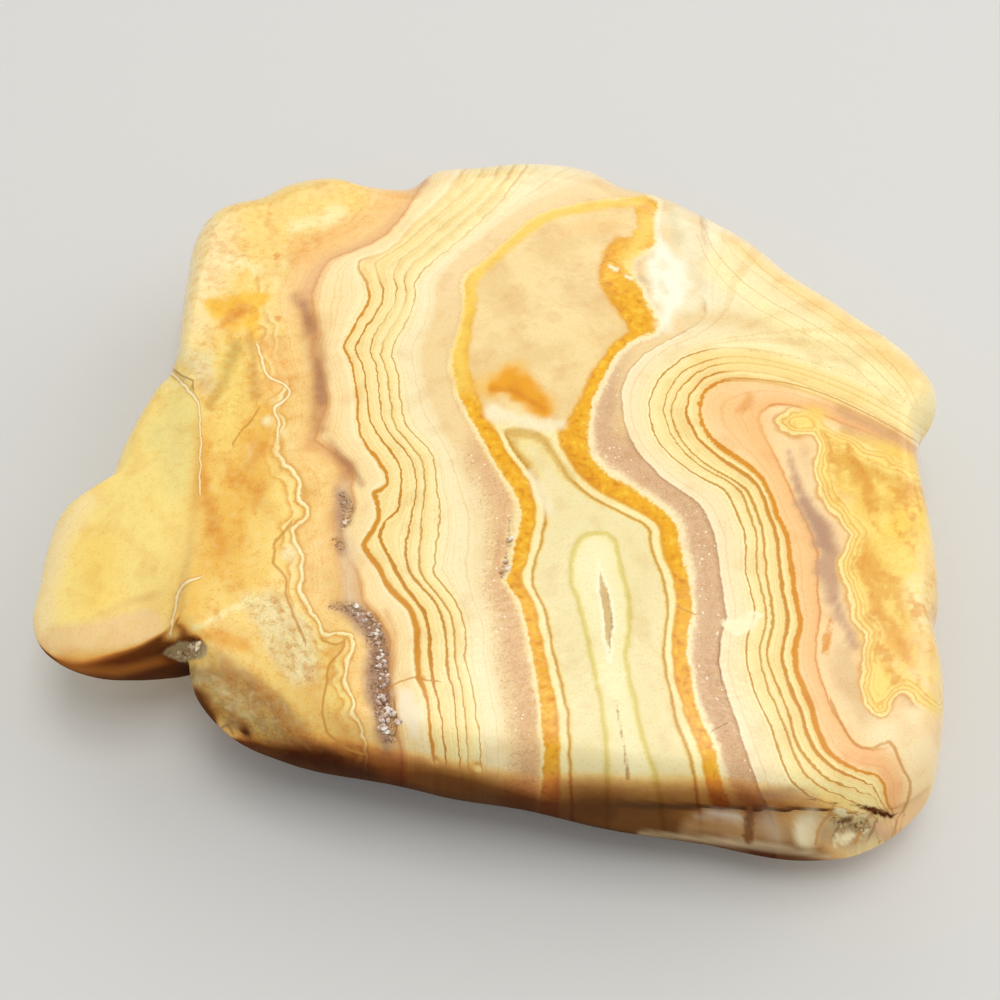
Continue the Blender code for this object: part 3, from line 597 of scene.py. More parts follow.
    "druseTone": ((236, 208, 172), 7, 6, 0.85, [[(344, 486, 5), (346, 530, 5), (350, 600, 9), (372, 636, 11),
        (380, 690, 9), (388, 740, 7)]]),
    "druseDusk": ((170, 130, 106), 7, 7, 0.9, [[(341, 494, 4), (340, 552, 3)], [(334, 606, 4), (358, 614, 8),
        (378, 640, 13), (380, 690, 13), (386, 748, 9)]]),
    "druseRim": ((226, 160, 88), 4, 4, 0.7, [[(386, 612, 2), (395, 634, 3), (394, 658, 3), (390, 678, 2)]]),
}

# the same, over the thin lines and over the flanks' painted shade
lateWashes = {
    "patchWhite": ((250, 238, 208), 4, 9, 0.7, [[(404, 696, 9), (410, 714, 11), (412, 730, 6)]]),
    "wedge": ((255, 244, 200), 2, 4, 0.9, [[(724, 622, 3), (738, 627, 8), (752, 622, 6)], [(748, 612, 4),
        (762, 616, 2)]]),
    "chipOlive": ((182, 160, 116), 2, 3, 0.95, [[(168, 652, 5), (182, 652, 10), (198, 650, 10)]]),
    "bulgeTan": ((186, 146, 96), 8, 5, 0.8, [[(690, 826, 8), (760, 830, 10), (800, 834, 12), (850, 838, 12),
        (886, 828, 8)]]),
    "bulgeAsh": ((204, 176, 140), 8, 4, 0.85, [[(768, 818, 8), (776, 834, 8)]]),
    # the bulge's own cream, brightened with painted light where it faces up
    "bulgePale": ((248, 226, 176), 6, 3, 0.9, [[(812, 815, 6), (806, 826, 12), (808, 840, 10)]]),
    # painted highlight where the bulge catches the light
    "bulgeLit": ((255, 244, 204), 6, 2, 0.85, [[(808, 817, 3), (800, 827, 4), (802, 840, 4)]]),
    # painted sheen, a glassy highlight on the bulge
    "bulgeGlass": ((226, 212, 184), 5, 3, 0.9, [[(696, 815, 1), (716, 814, 3.5), (738, 817, 4)]]),
    "bulgePink": ((216, 168, 126), 5, 3, 0.9, [[(880, 828, 6), (884, 836, 4)]]),
    "bulgeStreaks": ((128, 80, 34), 2.5, 3, 0.95, [[(750, 810, 4), (749, 840, 4)], [(850, 818, 3),
        (842, 823, 3)]]),
    "cornerPeach": ((252, 204, 146), 8, 3, 0.8, [[(884, 826, 6), (902, 818, 8), (918, 800, 9)]]),
    # painted light on the lower lip, where light from the floor falls on it
    "bulgeRim": ((222, 198, 156), 4, 1.5, 0.8, [[(640, 833, 1), (700, 839, 2), (748, 844, 3), (790, 850, 3),
        (830, 857, 2)]]),
    # painted highlights on the broken crystals in the notch
    "crackBright": ((255, 240, 190), 2.5, 4, 0.95, [[(835, 809, 2), (843, 812, 4)], [(835, 836, 3),
        (834, 846, 3)], [(844, 843, 3), (852, 833, 3)], [(862, 814, 3), (870, 816, 2)], [(868, 826, 2),
        (863, 838, 2)]]),
    "frontMauve": ((158, 110, 76), 5, 2, 0.8, [[(764, 794, 4), (790, 793, 5), (814, 797, 3)]]),
    # painted shade on the lobe's front, lighter than the flanks' own
    "lobeGlow": ((186, 112, 40), 5, 2, 0.7, [[(58, 662, 4), (84, 670, 5), (118, 672, 5), (160, 661, 4)]]),
    # painted shade low on the front flank
    "footDark": ((84, 46, 20), 6, 3, 0.55, [[(500, 800, 4), (530, 806, 8), (570, 808, 9), (610, 814, 7)]]),
    # painted shade in the crack under the ledge's lip
    "lipDark": ((92, 42, 16), 1.4, 1, 1.0, [[(808, 799, 0.1), (832, 803, 0.8), (848, 804, 0.6),
        (862, 807, 1.8), (873, 810, 3.2), (884, 814, 3.4), (893, 817, 2), (904, 814, 1)]]),
}

# thin lines that don't follow the growth: colour, strength, and runs of width, points
veins = {
    "ochreVeins": ((204, 140, 50), 0.75, [
        (2.4, [(292, 523), (285, 531), (276, 540), (274, 555), (273, 563), (281, 572), (287, 582),
            (285, 593), (290, 606), (295, 620), (300, 631), (305, 642)]),
        (2.2, [(322, 640), (336, 645), (345, 641), (341, 652), (330, 663), (327, 680), (324, 696),
            (323, 712), (326, 728), (336, 741), (350, 750), (364, 754)]),
        (1.6, [(384, 692), (398, 683), (412, 677), (425, 680), (438, 681)]),
        (1.8, [(258, 409), (252, 420), (242, 429), (234, 444)]),
        (1.1, [(735, 378), (765, 380), (800, 386), (832, 397), (862, 411), (892, 427), (916, 441)]),
        (1.5, [(679, 607), (687, 611), (694, 614)]),
        (2.4, [(831, 700), (836, 714), (843, 727), (856, 745), (872, 748), (892, 742), (899, 762),
            (911, 786), (903, 812)]),
        (2.8, [(832, 808), (825, 819), (819, 829), (816, 844)]),
        (3.2, [(870, 816), (864, 824), (860, 832), (856, 842)]),
        (1.6, [(897, 820), (895, 828), (893, 836)]),
        (1.1, [(603, 264), (609, 260), (616, 263)]),
    ]),
    "paleVeins": ((255, 244, 196), 0.8, [
        (1.7, [(258, 346), (262, 362), (269, 377), (284, 384), (290, 394), (283, 402), (273, 407),
            (278, 420), (277, 436)]),
        (1.8, [(172, 373), (186, 387), (198, 402)]),
        # not a vein: a painted highlight along the edge of the fold's step
        (1.8, [(200, 577), (184, 584), (178, 596), (173, 618), (170, 634)]),
        (1.2, [(198, 402), (200, 424), (201, 446), (200, 470), (199, 492)]),
    ]),
    "hairVeins": ((214, 176, 106), 0.45, [
        (1.0, [(706, 231), (713, 248), (727, 266), (746, 284), (770, 301), (801, 318), (833, 337),
            (866, 361), (897, 392)]),
        (1.0, [(741, 247), (757, 264), (781, 283), (812, 303), (846, 325), (879, 352), (908, 384),
            (917, 402)]),
    ]),
    "fineVeins": ((218, 182, 114), 0.36, [
        (1.0, [(697, 234), (704, 254), (718, 274), (737, 294), (762, 311), (792, 327), (826, 346),
            (858, 370), (888, 400)]),
        (1.0, [(722, 237), (735, 255), (755, 273), (780, 291), (808, 309), (841, 330), (873, 356),
            (903, 388), (913, 408)]),
    ]),
    "darkVeins": ((140, 98, 48), 0.65, [
        (1.6, [(172, 368), (182, 376), (192, 380), (192, 388)]),
        (2.0, [(222, 728), (228, 724), (232, 734)]),
        (2.2, [(876, 821), (874, 829), (869, 836)]),
        (2.4, [(851, 817), (845, 822), (838, 829), (833, 834)]),
        (1.0, [(713, 731), (727, 723)]),
        (1.1, [(394, 702), (397, 718), (395, 738)]),
        (1.0, [(720, 640), (719, 660), (721, 682)]),
    ]),
}

# the edge of the mottled heart at the right, all round, and its fringes: gap inside the edge, colour
heartEdge = [(777, 422), (787, 411), (810, 409), (824, 420), (846, 433), (880, 449), (921, 468), (980, 480),
    (980, 730), (938, 717), (913, 702), (899, 692), (893, 704), (882, 715), (870, 710), (862, 694),
    (859, 676), (863, 652), (865, 634), (855, 620), (849, 602), (844, 584), (840, 568), (841, 552),
    (852, 534), (838, 521), (821, 500), (815, 474), (818, 443), (806, 436), (788, 434)]
heartFringes = [(-8, (236, 198, 150)), (-3.2, (232, 188, 128)), (-1.4, (230, 178, 104)),
    (0, (254, 238, 178)), (2.0, (253, 230, 150)), (3.2, (236, 184, 98)), (4.6, (253, 228, 148)),
    (6.4, (250, 216, 120)), (7.6, (238, 188, 98)), (9.2, (253, 230, 150)), (11.4, (250, 217, 118)),
    (12.6, (240, 192, 100)), (14.4, (252, 226, 142)), (20, (248, 210, 112))]

# pits and broken places: depth in millimetres, softness, and runs of x, y, radius
dents = [
    (0.50, 3, [[(342, 494, 2), (348, 508, 5), (344, 524, 3)]]),
    (0.35, 3, [[(334, 541, 3), (341, 546, 3)]]),
    (0.30, 5, [[(330, 606, 2), (352, 608, 5), (369, 622, 8), (378, 648, 9), (379, 690, 9), (388, 738, 6)]]),
    (0.50, 3, [[(384, 704, 4), (394, 722, 4)]]),
    (0.14, 2, [[(510, 515, 2), (508, 546, 2), (502, 576, 3)]]),
    (0.30, 3, [[(170, 656, 5), (196, 648, 8)]]),
    (0.45, 3, [[(836, 820, 4), (850, 828, 7), (864, 824, 4)]]),
    (0.10, 1.5, [[(670, 500, 2)], [(708, 540, 2)], [(703, 565, 2)], [(716, 686, 3)], [(435, 760, 2)],
                 [(478, 766, 2)]]),
]
dentFloor, dentNoise = 0.85, 0.9  # how much of its depth a dent has, and how rough it is

# noise over the stone: millimetres between its lumps, where in the noise it starts, octaves
noises = {
    "slow": (3.2, 5.3, 2),
    "mid": (0.95, 7.9, 2),
    "cloud": (2.0, 31.0, 4),
    "streaks": (1.0, 11.0, 4),
    "dents": (0.5, 2.2, 1),
    "crystals": (0.6, 4.4, 1),
    "behindAcross": (9, 3.1, 1),
    "behindAlong": (9, 8.7, 1),
}
lumpSize = 1.5

# how the marks lie; in points of the view but for those that say otherwise
layout = {
    "lineStep": 7,  # how finely the curves of the bands, the heart and the veins are cut
    "heartStep": 6,
    "veinStep": 5,
    "below": 1200,  # well outside the stone
    "above": -200,
    "left": -500,
    "right": 1500,
    "sideEntry": 200,  # a line that starts lower than this comes in from the side
    "behindTurn": 1.6,  # how soon the bands wander where the view doesn't see them
    "behindBend": 34,
    "ragAcross": 1.7,  # raggedness of the bands
    "ragAlong": 0.6,
    "spread": (0.6, 8),  # the least and the most points to a step of growth
    "streakGrid": (31, 1.1, 4.2, 0.5),  # points to a unit, a streak's width and length, its raggedness
    "fieldFoot": (440, 425),  # where the upper field ends, and where it starts to
    "veinReach": (3.8, 5.8),
    "veinLimit": 20,  # half widths
    "softWash": 6,  # washes with more softness than this are ragged on a large scale
    "bevelMatt": (-8, 10),
    "facetMatt": (-8, 12),
    "farSoft": (186, 266),
    "calmAcross": (188, 212),
    "calmAlong": (380, 410),
}

# the front below the rim, which turns down and away from the light and is darkened there with painted shade;
# x and y in millimetres
flank = {
    # x, and the upward share of the normal where it starts to darken
    "starts": [(-16, 0.70), (-13.6, 0.64), (-10.7, 0.50), (-6.4, 0.36), (-2.1, 0.41), (2.1, 0.28),
               (6.4, 0.50), (10, 0.61), (14, 0.68)],
    "upright": 0.7,  # how dark an upright face is
    "facesFront": (0.3, 0.75),
    "rightEnd": (19, 24),
    "rightLoss": 0.85,
    "dullFrom": (0.9906, 0.9996),  # the upward share of the normal where the polish gets duller
    "front": -15,  # the crease lies in front of this
    "creaseWidth": 0.3,
    "creaseShown": (0.5, 0.85),  # share of the greatest depth
}


def softened(points, step):
    # a curve through the points, as short straight pieces
    points = np.array(points, float)
    before = np.vstack([2 * points[0] - points[1], points[:-1]])
    after = np.vstack([points[1:], 2 * points[-1] - points[-2]])
    slopes = (after - before) / 2
    curve = [points[:1]]
    for start, end, leaving, arriving in zip(points[:-1], points[1:], slopes[:-1], slopes[1:]):
        length = np.hypot(*(end - start))
        t = np.linspace(0, 1, max(2, int(length / step) + 1))[1:, None]
        pull = min(1.0, length / max(np.hypot(*leaving), np.hypot(*arriving)))
        curve.append(bent(t, start, end, pull * leaving, pull * arriving))
    return np.vstack(curve)


def gapTo(line, u, v):
    return np.abs(rightOf(line, u, v))


def within(ring, u, v):
    inside = np.zeros(u.shape, bool)
    for (ax, ay), (bx, by) in zip(ring, np.roll(ring, -1, axis=0)):
        if ay != by:
            inside ^= ((ay > v) != (by > v)) & (u < ax + (bx - ax) * (v - ay) / (by - ay))
    return inside


def bandRings(family, outside=None):
    # each line of a family with its place, its curve, and the ring round all that lies beyond it
    rings = []
    for place, points in family.values():
        startX, startY = points[0]
        curve = softened(points + [(points[-1][0], layout["below"])], layout["lineStep"])
        top = startY if startY > layout["sideEntry"] else layout["above"]
        corners = [(outside, layout["below"]), (outside, top), (startX, top)] if outside else np.empty((0, 2))
        rings.append((place, curve, np.vstack([curve, corners])))
    return rings


def placeInFamily(rings, u, v, beyondOf):
    # the growth of each point between the two lines it lies between, and the points to one step of growth
    places = np.array([place for place, curve, ring in rings], float)
    gaps = np.array([gapTo(curve, u, v) for place, curve, ring in rings])
    count = sum(beyondOf(within(ring, u, v)).astype(int) for place, curve, ring in rings)
    last = len(places) - 1
    low, high = np.clip(count - 1, 0, last), np.clip(count, 0, last)
    each = np.arange(len(u))
    nearLow, nearHigh = gaps[low, each], gaps[high, each]
    growth = places[low] + (places[high] - places[low]) * nearLow / np.maximum(nearLow + nearHigh, tiny)
    spread = (nearLow + nearHigh) / np.maximum(places[high] - places[low], 1)
    growth = np.where(count == 0, places[0] - gaps[0], growth)
    growth = np.where(count == len(places), places[last] + gaps[last], growth)
    return growth, np.where((count == 0) | (count == len(places)), 1, spread)


def bandGrowth(core, u, v):
    # how far from the slit each point grew, how far it is right of the divide, and the points to a step
    coreGrowth, coreSpread = placeInFamily(core, u, v, lambda inside: ~inside)
    outerPlace, outerCurve, outerRing = core[-1]
    inCore = within(outerRing, u, v)
    right = u - np.interp(v, [y for x, y in divide], [x for x, y in divide])
    sides = {}
    for name, family in (("left", leftLines), ("right", rightLines)):
        rings = bandRings(family, layout[name])
        growth, spread = placeInFamily(rings, u, v, lambda inside: inside)
        first, firstCurve, firstRing = rings[0]
        gapFirst, gapOuter = gapTo(firstCurve, u, v), gapTo(outerCurve, u, v)
        strip = outerPlace + (first - outerPlace) * gapOuter / np.maximum(gapOuter + gapFirst, tiny)
        sides[name] = np.where(growth < first, strip, growth), spread
    outside = np.where(right > 0, sides["right"], sides["left"])
    growth, spread = np.where(inCore, (coreGrowth, coreSpread), outside)
    return growth, right, np.clip(spread, *layout["spread"])


def washCover(runs, u, v):
    # how far each point is inside the nearest run of a wash
    cover = np.full(u.shape, farOutside)
    for run in runs:
        for (ax, ay, ar), (bx, by, br) in zip(run, run[1:] or run):
            dx, dy = bx - ax, by - ay
            along = np.clip(((u - ax) * dx + (v - ay) * dy) / max(dx * dx + dy * dy, 1), 0, 1)
            gap = np.hypot(u - ax - along * dx, v - ay - along * dy)
            cover = np.maximum(cover, ar + along * (br - ar) - gap)
    return cover


def veinField(runs, u, v):
    # the signed gap to the nearest thin line, in its half widths, and how present that line is
    gaps = np.array([rightOf(softened(points, layout["veinStep"]), u, v) for width, points in runs])
    halfWidths = np.array([width / 2 for width, points in runs])
    nearest = np.abs(gaps).argmin(axis=0)
    gap = gaps[nearest, np.arange(len(u))]
    across = np.clip(gap / halfWidths[nearest], -layout["veinLimit"], layout["veinLimit"])
    return across, 1 - rising(np.abs(gap), *layout["veinReach"])


def keep(mesh, name, values):
    mesh.attributes.new(name, "FLOAT", "POINT").data.foreach_set("value", np.asarray(values, np.float32))


def facing(places, normals):
    toEye = np.array(view["eye"]) - places
    return (normals * toEye).sum(axis=1) / np.linalg.norm(toEye, axis=1)


def normalsOf(mesh):
    normals = np.empty(len(mesh.vertices) * 3)
    mesh.vertices.foreach_get("normal", normals)
    return normals.reshape(-1, 3)


def wander(places, name):
    # slow noise at each place, from about -1 to 1
    spacing, start, octaves = noises[name]
    shift = Vector((start, 0, 0))
    return np.array([noise.fractal(Vector(p) / spacing + shift, 1.0, 2.0, octaves) for p in places.tolist()])


def stoneMesh():
    spots, faces = boxGrid()
    places = moulded(*spots.T)
    middle = (places.min(axis=0) + places.max(axis=0)) / 2
    places[:, :2] = (places[:, :2] - middle[:2]) * stoneForm["shrink"]
    mesh = bpy.data.meshes.new("banded_agate")
    mesh.from_pydata(places * mm, [], faces)
    normals = normalsOf(mesh)
    u, v = seenAt(places)
    sunk = np.zeros(len(places))
    for depth, softness, runs in dents:
        sunk = np.maximum(sunk, depth * rising(washCover(runs, u, v), -softness, softness))
    rough = dentFloor + dentNoise * wander(places, "dents")
    places -= normals * (sunk * rough * (facing(places, normals) > leastFacing))[:, None]
    mesh.vertices.foreach_set("co", (places * mm).ravel())
    mesh.update()
    mesh.shade_smooth()
    return mesh, places, normalsOf(mesh), sunk


def markGrowth(mesh, u, v):
    core = bandRings(coreLines)
    growth, right, spread = bandGrowth(core, u, v)
    keep(mesh, "growth", growth)
    keep(mesh, "spread", spread)
    keep(mesh, "right", right)
    rings = {place: (curve, ring) for place, curve, ring in core}
    (ochre, ochreRing), (thin, thinRing) = (rings[coreLines[name][0]] for name in ("ochreInner", "thinLine"))
    foot, fade = layout["fieldFoot"]
    inField = within(ochreRing, u, v) & ~within(thinRing, u, v) & (v < foot)
    gap = np.minimum(gapTo(ochre, u, v), gapTo(thin, u, v))
    keep(mesh, "upperField", np.minimum(np.where(inField, gap, -gap), fade - v))
    heart = softened(heartEdge + heartEdge[:1], layout["heartStep"])
    keep(mesh, "heartInside", np.where(within(heart, u, v), 1, -1) * gapTo(heart, u, v))


def markStainsAndShading(mesh, u, v, slow, mid):
    # the soft ones, stains and painted light and shade, go into one colour, and how much of the stone it
    # hides; the crisp ones are kept one by one
    reaches = {}
    for layer, chosen in (("stain", washes), ("lateStain", lateWashes)):
        tint, hidden = np.zeros((len(u), 3)), np.zeros(len(u))
        for name, (colour, softness, ragged, strength, runs) in chosen.items():
            rag = slow if softness > layout["softWash"] else (slow + mid) / 2
            reaches[name] = washCover(runs, u, v) + ragged * rag
            if colour and softness >= crispBelow:
                share = strength * rising(reaches[name], -softness, softness)
                tint = tint * (1 - share)[:, None] + np.array(dye(colour)[:3]) * share[:, None]
                hidden = hidden + (1 - hidden) * share
            else:
                keep(mesh, name, reaches[name])
        keep(mesh, layer + "Hides", hidden)
        colours = mesh.attributes.new(layer, "FLOAT_COLOR", "POINT")
        colours.data.foreach_set("color", np.column_stack([tint, np.ones(len(u))]).astype(np.float32).ravel())
    bevel = rising(reaches["bevelCream"], *layout["bevelMatt"])
    keep(mesh, "matt", np.maximum(bevel, rising(reaches["facet"], *layout["facetMatt"])))
    return reaches


def markFlank(mesh, places, normals, fade):
    x, y, z = places.T
    upwards = normals[:, 2]
    front = -normals[:, 1] / np.maximum(np.hypot(normals[:, 0], normals[:, 1]), tiny)
    front = rising(front, *flank["facesFront"])
    keep(mesh, "turned", (1 - rising(upwards, *flank["dullFrom"])) * front)
    # painted shade on the front flanks, deeper as they turn down
    steep = np.clip(flank["upright"] * (1 - upwards / np.interp(x, *np.array(flank["starts"]).T)), 0, 1)
    shown = 1 - flank["rightLoss"] * rising(x, *flank["rightEnd"])
    keep(mesh, "flank", steep * front * shown * (1 - fade))
    # the ledge's crease, where painted shade darkens the colour and the polish is rougher
    heights, depths = ledgeAt(x)
    crease = np.exp(-(((z - heights) / flank["creaseWidth"]) ** 2)) * (y < flank["front"])
    deep = depths / max(depth for along, height, depth in stoneForm["ledge"])
    keep(mesh, "crease", crease * deep * rising(deep, *flank["creaseShown"]))
    keep(mesh, "groove", np.sqrt(crease * deep))


def markStone(mesh, places, normals, sunk):
    u, v = seenAt(places)
    away = smoothStep(-facing(places, normals) * layout["behindTurn"])  # 1 behind and below
    u = u + away * layout["behindBend"] * wander(places, "behindAcross")
    v = v + away * layout["behindBend"] * wander(places, "behindAlong")
    slow, mid = wander(places, "slow"), wander(places, "mid")
    keep(mesh, "slow", slow)
    keep(mesh, "cloud", wander(places, "cloud"))
    keep(mesh, "lumps", [noise.voronoi(Vector(p) / lumpSize)[0][0] for p in places.tolist()])
    unit, width, length, rag = layout["streakGrid"]
    along, across = (u + 2 * v) / unit, (2 * u - v) / unit  # the heart's streaks run down to the right
    grid = np.column_stack([across / width + mid * rag, along / length, u * 0])
    keep(mesh, "streaks", wander(grid, "streaks"))
    u, v = u + mid * layout["ragAcross"], v + mid * layout["ragAlong"]
    markGrowth(mesh, u, v)
    reaches = markStainsAndShading(mesh, u, v, slow, mid)
    for name, (colour, strength, runs) in veins.items():
        across, present = veinField(runs, u, v)
        keep(mesh, name, across)
        keep(mesh, name + "There", present)
    colour, softness, ragged, strength, runs = washes["flankFade"]
    markFlank(mesh, places, normals, strength * rising(reaches["flankFade"], -softness, softness))
    keep(mesh, "farSoft", 1 - rising(v, *layout["farSoft"]))
    keep(mesh, "calm", (1 - rising(u, *layout["calmAcross"])) * rising(v, *layout["calmAlong"]))
    keep(mesh, "sunk", sunk)
    print("marked", len(u), "points")


def dye(colour):
    # linear light from the colour as it is mixed by eye, 0 to 255
    parts = [part / 255 for part in colour]
    return (*(part / 12.92 if part <= 0.04045 else ((part + 0.055) / 1.055) ** 2.4 for part in parts), 1.0)


class Wire:
    # one socket of a material; sums written with it add Math nodes
    def __init__(self, recipe, socket):
        self.recipe, self.socket = recipe, socket

    def maths(self, operation, *others):
        return self.recipe.node("ShaderNodeMath", {"operation": operation}, dict(enumerate((self, *others))))

    def __add__(self, other): return self.maths("ADD", other)
    def __sub__(self, other): return self.maths("SUBTRACT", other)
    def __mul__(self, other): return self.maths("MULTIPLY", other)
    def __rsub__(self, other): return (self * -1) + other
    def __truediv__(self, other): return self.maths("DIVIDE", other)
    def __abs__(self): return self.maths("ABSOLUTE")
    __radd__, __rmul__ = __add__, __mul__


class Recipe:
    # a material's tree, and the ways to add to it
    def __init__(self, name):
        self.material = bpy.data.materials.new(name)
        self.material.use_nodes = True
        self.tree = self.material.node_tree
        self.tree.nodes.clear()

    def node(self, kind, settings=None, values=None, out=0):
        node = self.tree.nodes.new(kind)
        for name, setting in (settings or {}).items():
            if name == "stops":
                elements = node.color_ramp.elements
                elements.remove(elements[-1])
                elements[0].position, elements[0].color = setting[0]
                for position, colour in setting[1:]:
                    elements.new(position).color = colour
            else:
                setattr(node, name, setting)
        for place, value in (values or {}).items():
            if isinstance(value, Wire):
                self.tree.links.new(value.socket, node.inputs[place])
            else:
                node.inputs[place].default_value = value
        return Wire(self, node.outputs[out]) if node.outputs else None

    def mark(self, name, out=2):
        return self.node("ShaderNodeAttribute", {"attribute_name": name}, out=out)

    def mask(self, name):
        # a wash with no colour, from 0 to its strength
        colour, softness, ragged, strength, runs = washes[name]
        return self.ease(self.mark(name), -softness, softness, strength)

    def blend(self, share, under, over, how="MIX"):
        return self.node("ShaderNodeMix", {"data_type": "RGBA", "blend_type": how},
                         {0: share, 6: under, 7: over}, out=2)

    def paint(self, colour, share, tint, how="MIX"):
        return self.blend(share, colour, dye(tint), how)

    def ease(self, value, low, high, top=1.0):
        return self.node("ShaderNodeMapRange", {"interpolation_type": "SMOOTHSTEP"},
                         {0: value, 1: low, 2: high, 3: 0.0, 4: top})

    def between(self, value, low, whole, falling, gone, loss=1.0):
        return self.ease(value, low, whole) * (1 - self.ease(value, falling, gone, loss))

    def rag(self, place, size, detail, start):
        # noise from -1 to 1, its lumps about this many millimetres
        spot = self.node("ShaderNodeVectorMath", {"operation": "ADD"}, {0: place, 1: (start, start, 0)})
        level = self.node("ShaderNodeTexNoise", {}, {"Vector": spot, "Scale": 1 / size, "Detail": detail})
        return (level - 0.5) * 2

    def speckle(self, colour, name, where=1.0):
        # tints the colour by a mix of noises
        for mix, low, high, strength, tint, how in agateFinish["speckles"][name]:
            level = sum(self.noises[each] * share for each, share in mix.items())
            colour = self.paint(colour, self.ease(level, low, high, strength) * where, tint, how)
        return colour

    def inMillimetres(self):
        spot = self.node("ShaderNodeTexCoord", {}, out=3)
        return self.node("ShaderNodeVectorMath", {"operation": "SCALE"}, {0: spot, "Scale": 1000.0})

    def finish(self, surface):
        self.node("ShaderNodeOutputMaterial", {}, {0: surface})
        return self.material

    def ramp(self, value, first, last, stops):
        share = (value - first) / (last - first)
        stops = [((at - first) / (last - first), dye(colour)) for at, colour in stops]
        colour = self.node("ShaderNodeValToRGB", {"stops": stops[:30]}, {0: share})
        if len(stops) > 30:  # one ramp holds no more than 32
            beyond = self.node("ShaderNodeValToRGB", {"stops": stops[29:]}, {0: share})
            colour = self.blend(share.maths("GREATER_THAN", stops[29][0]), colour, beyond)
        return colour


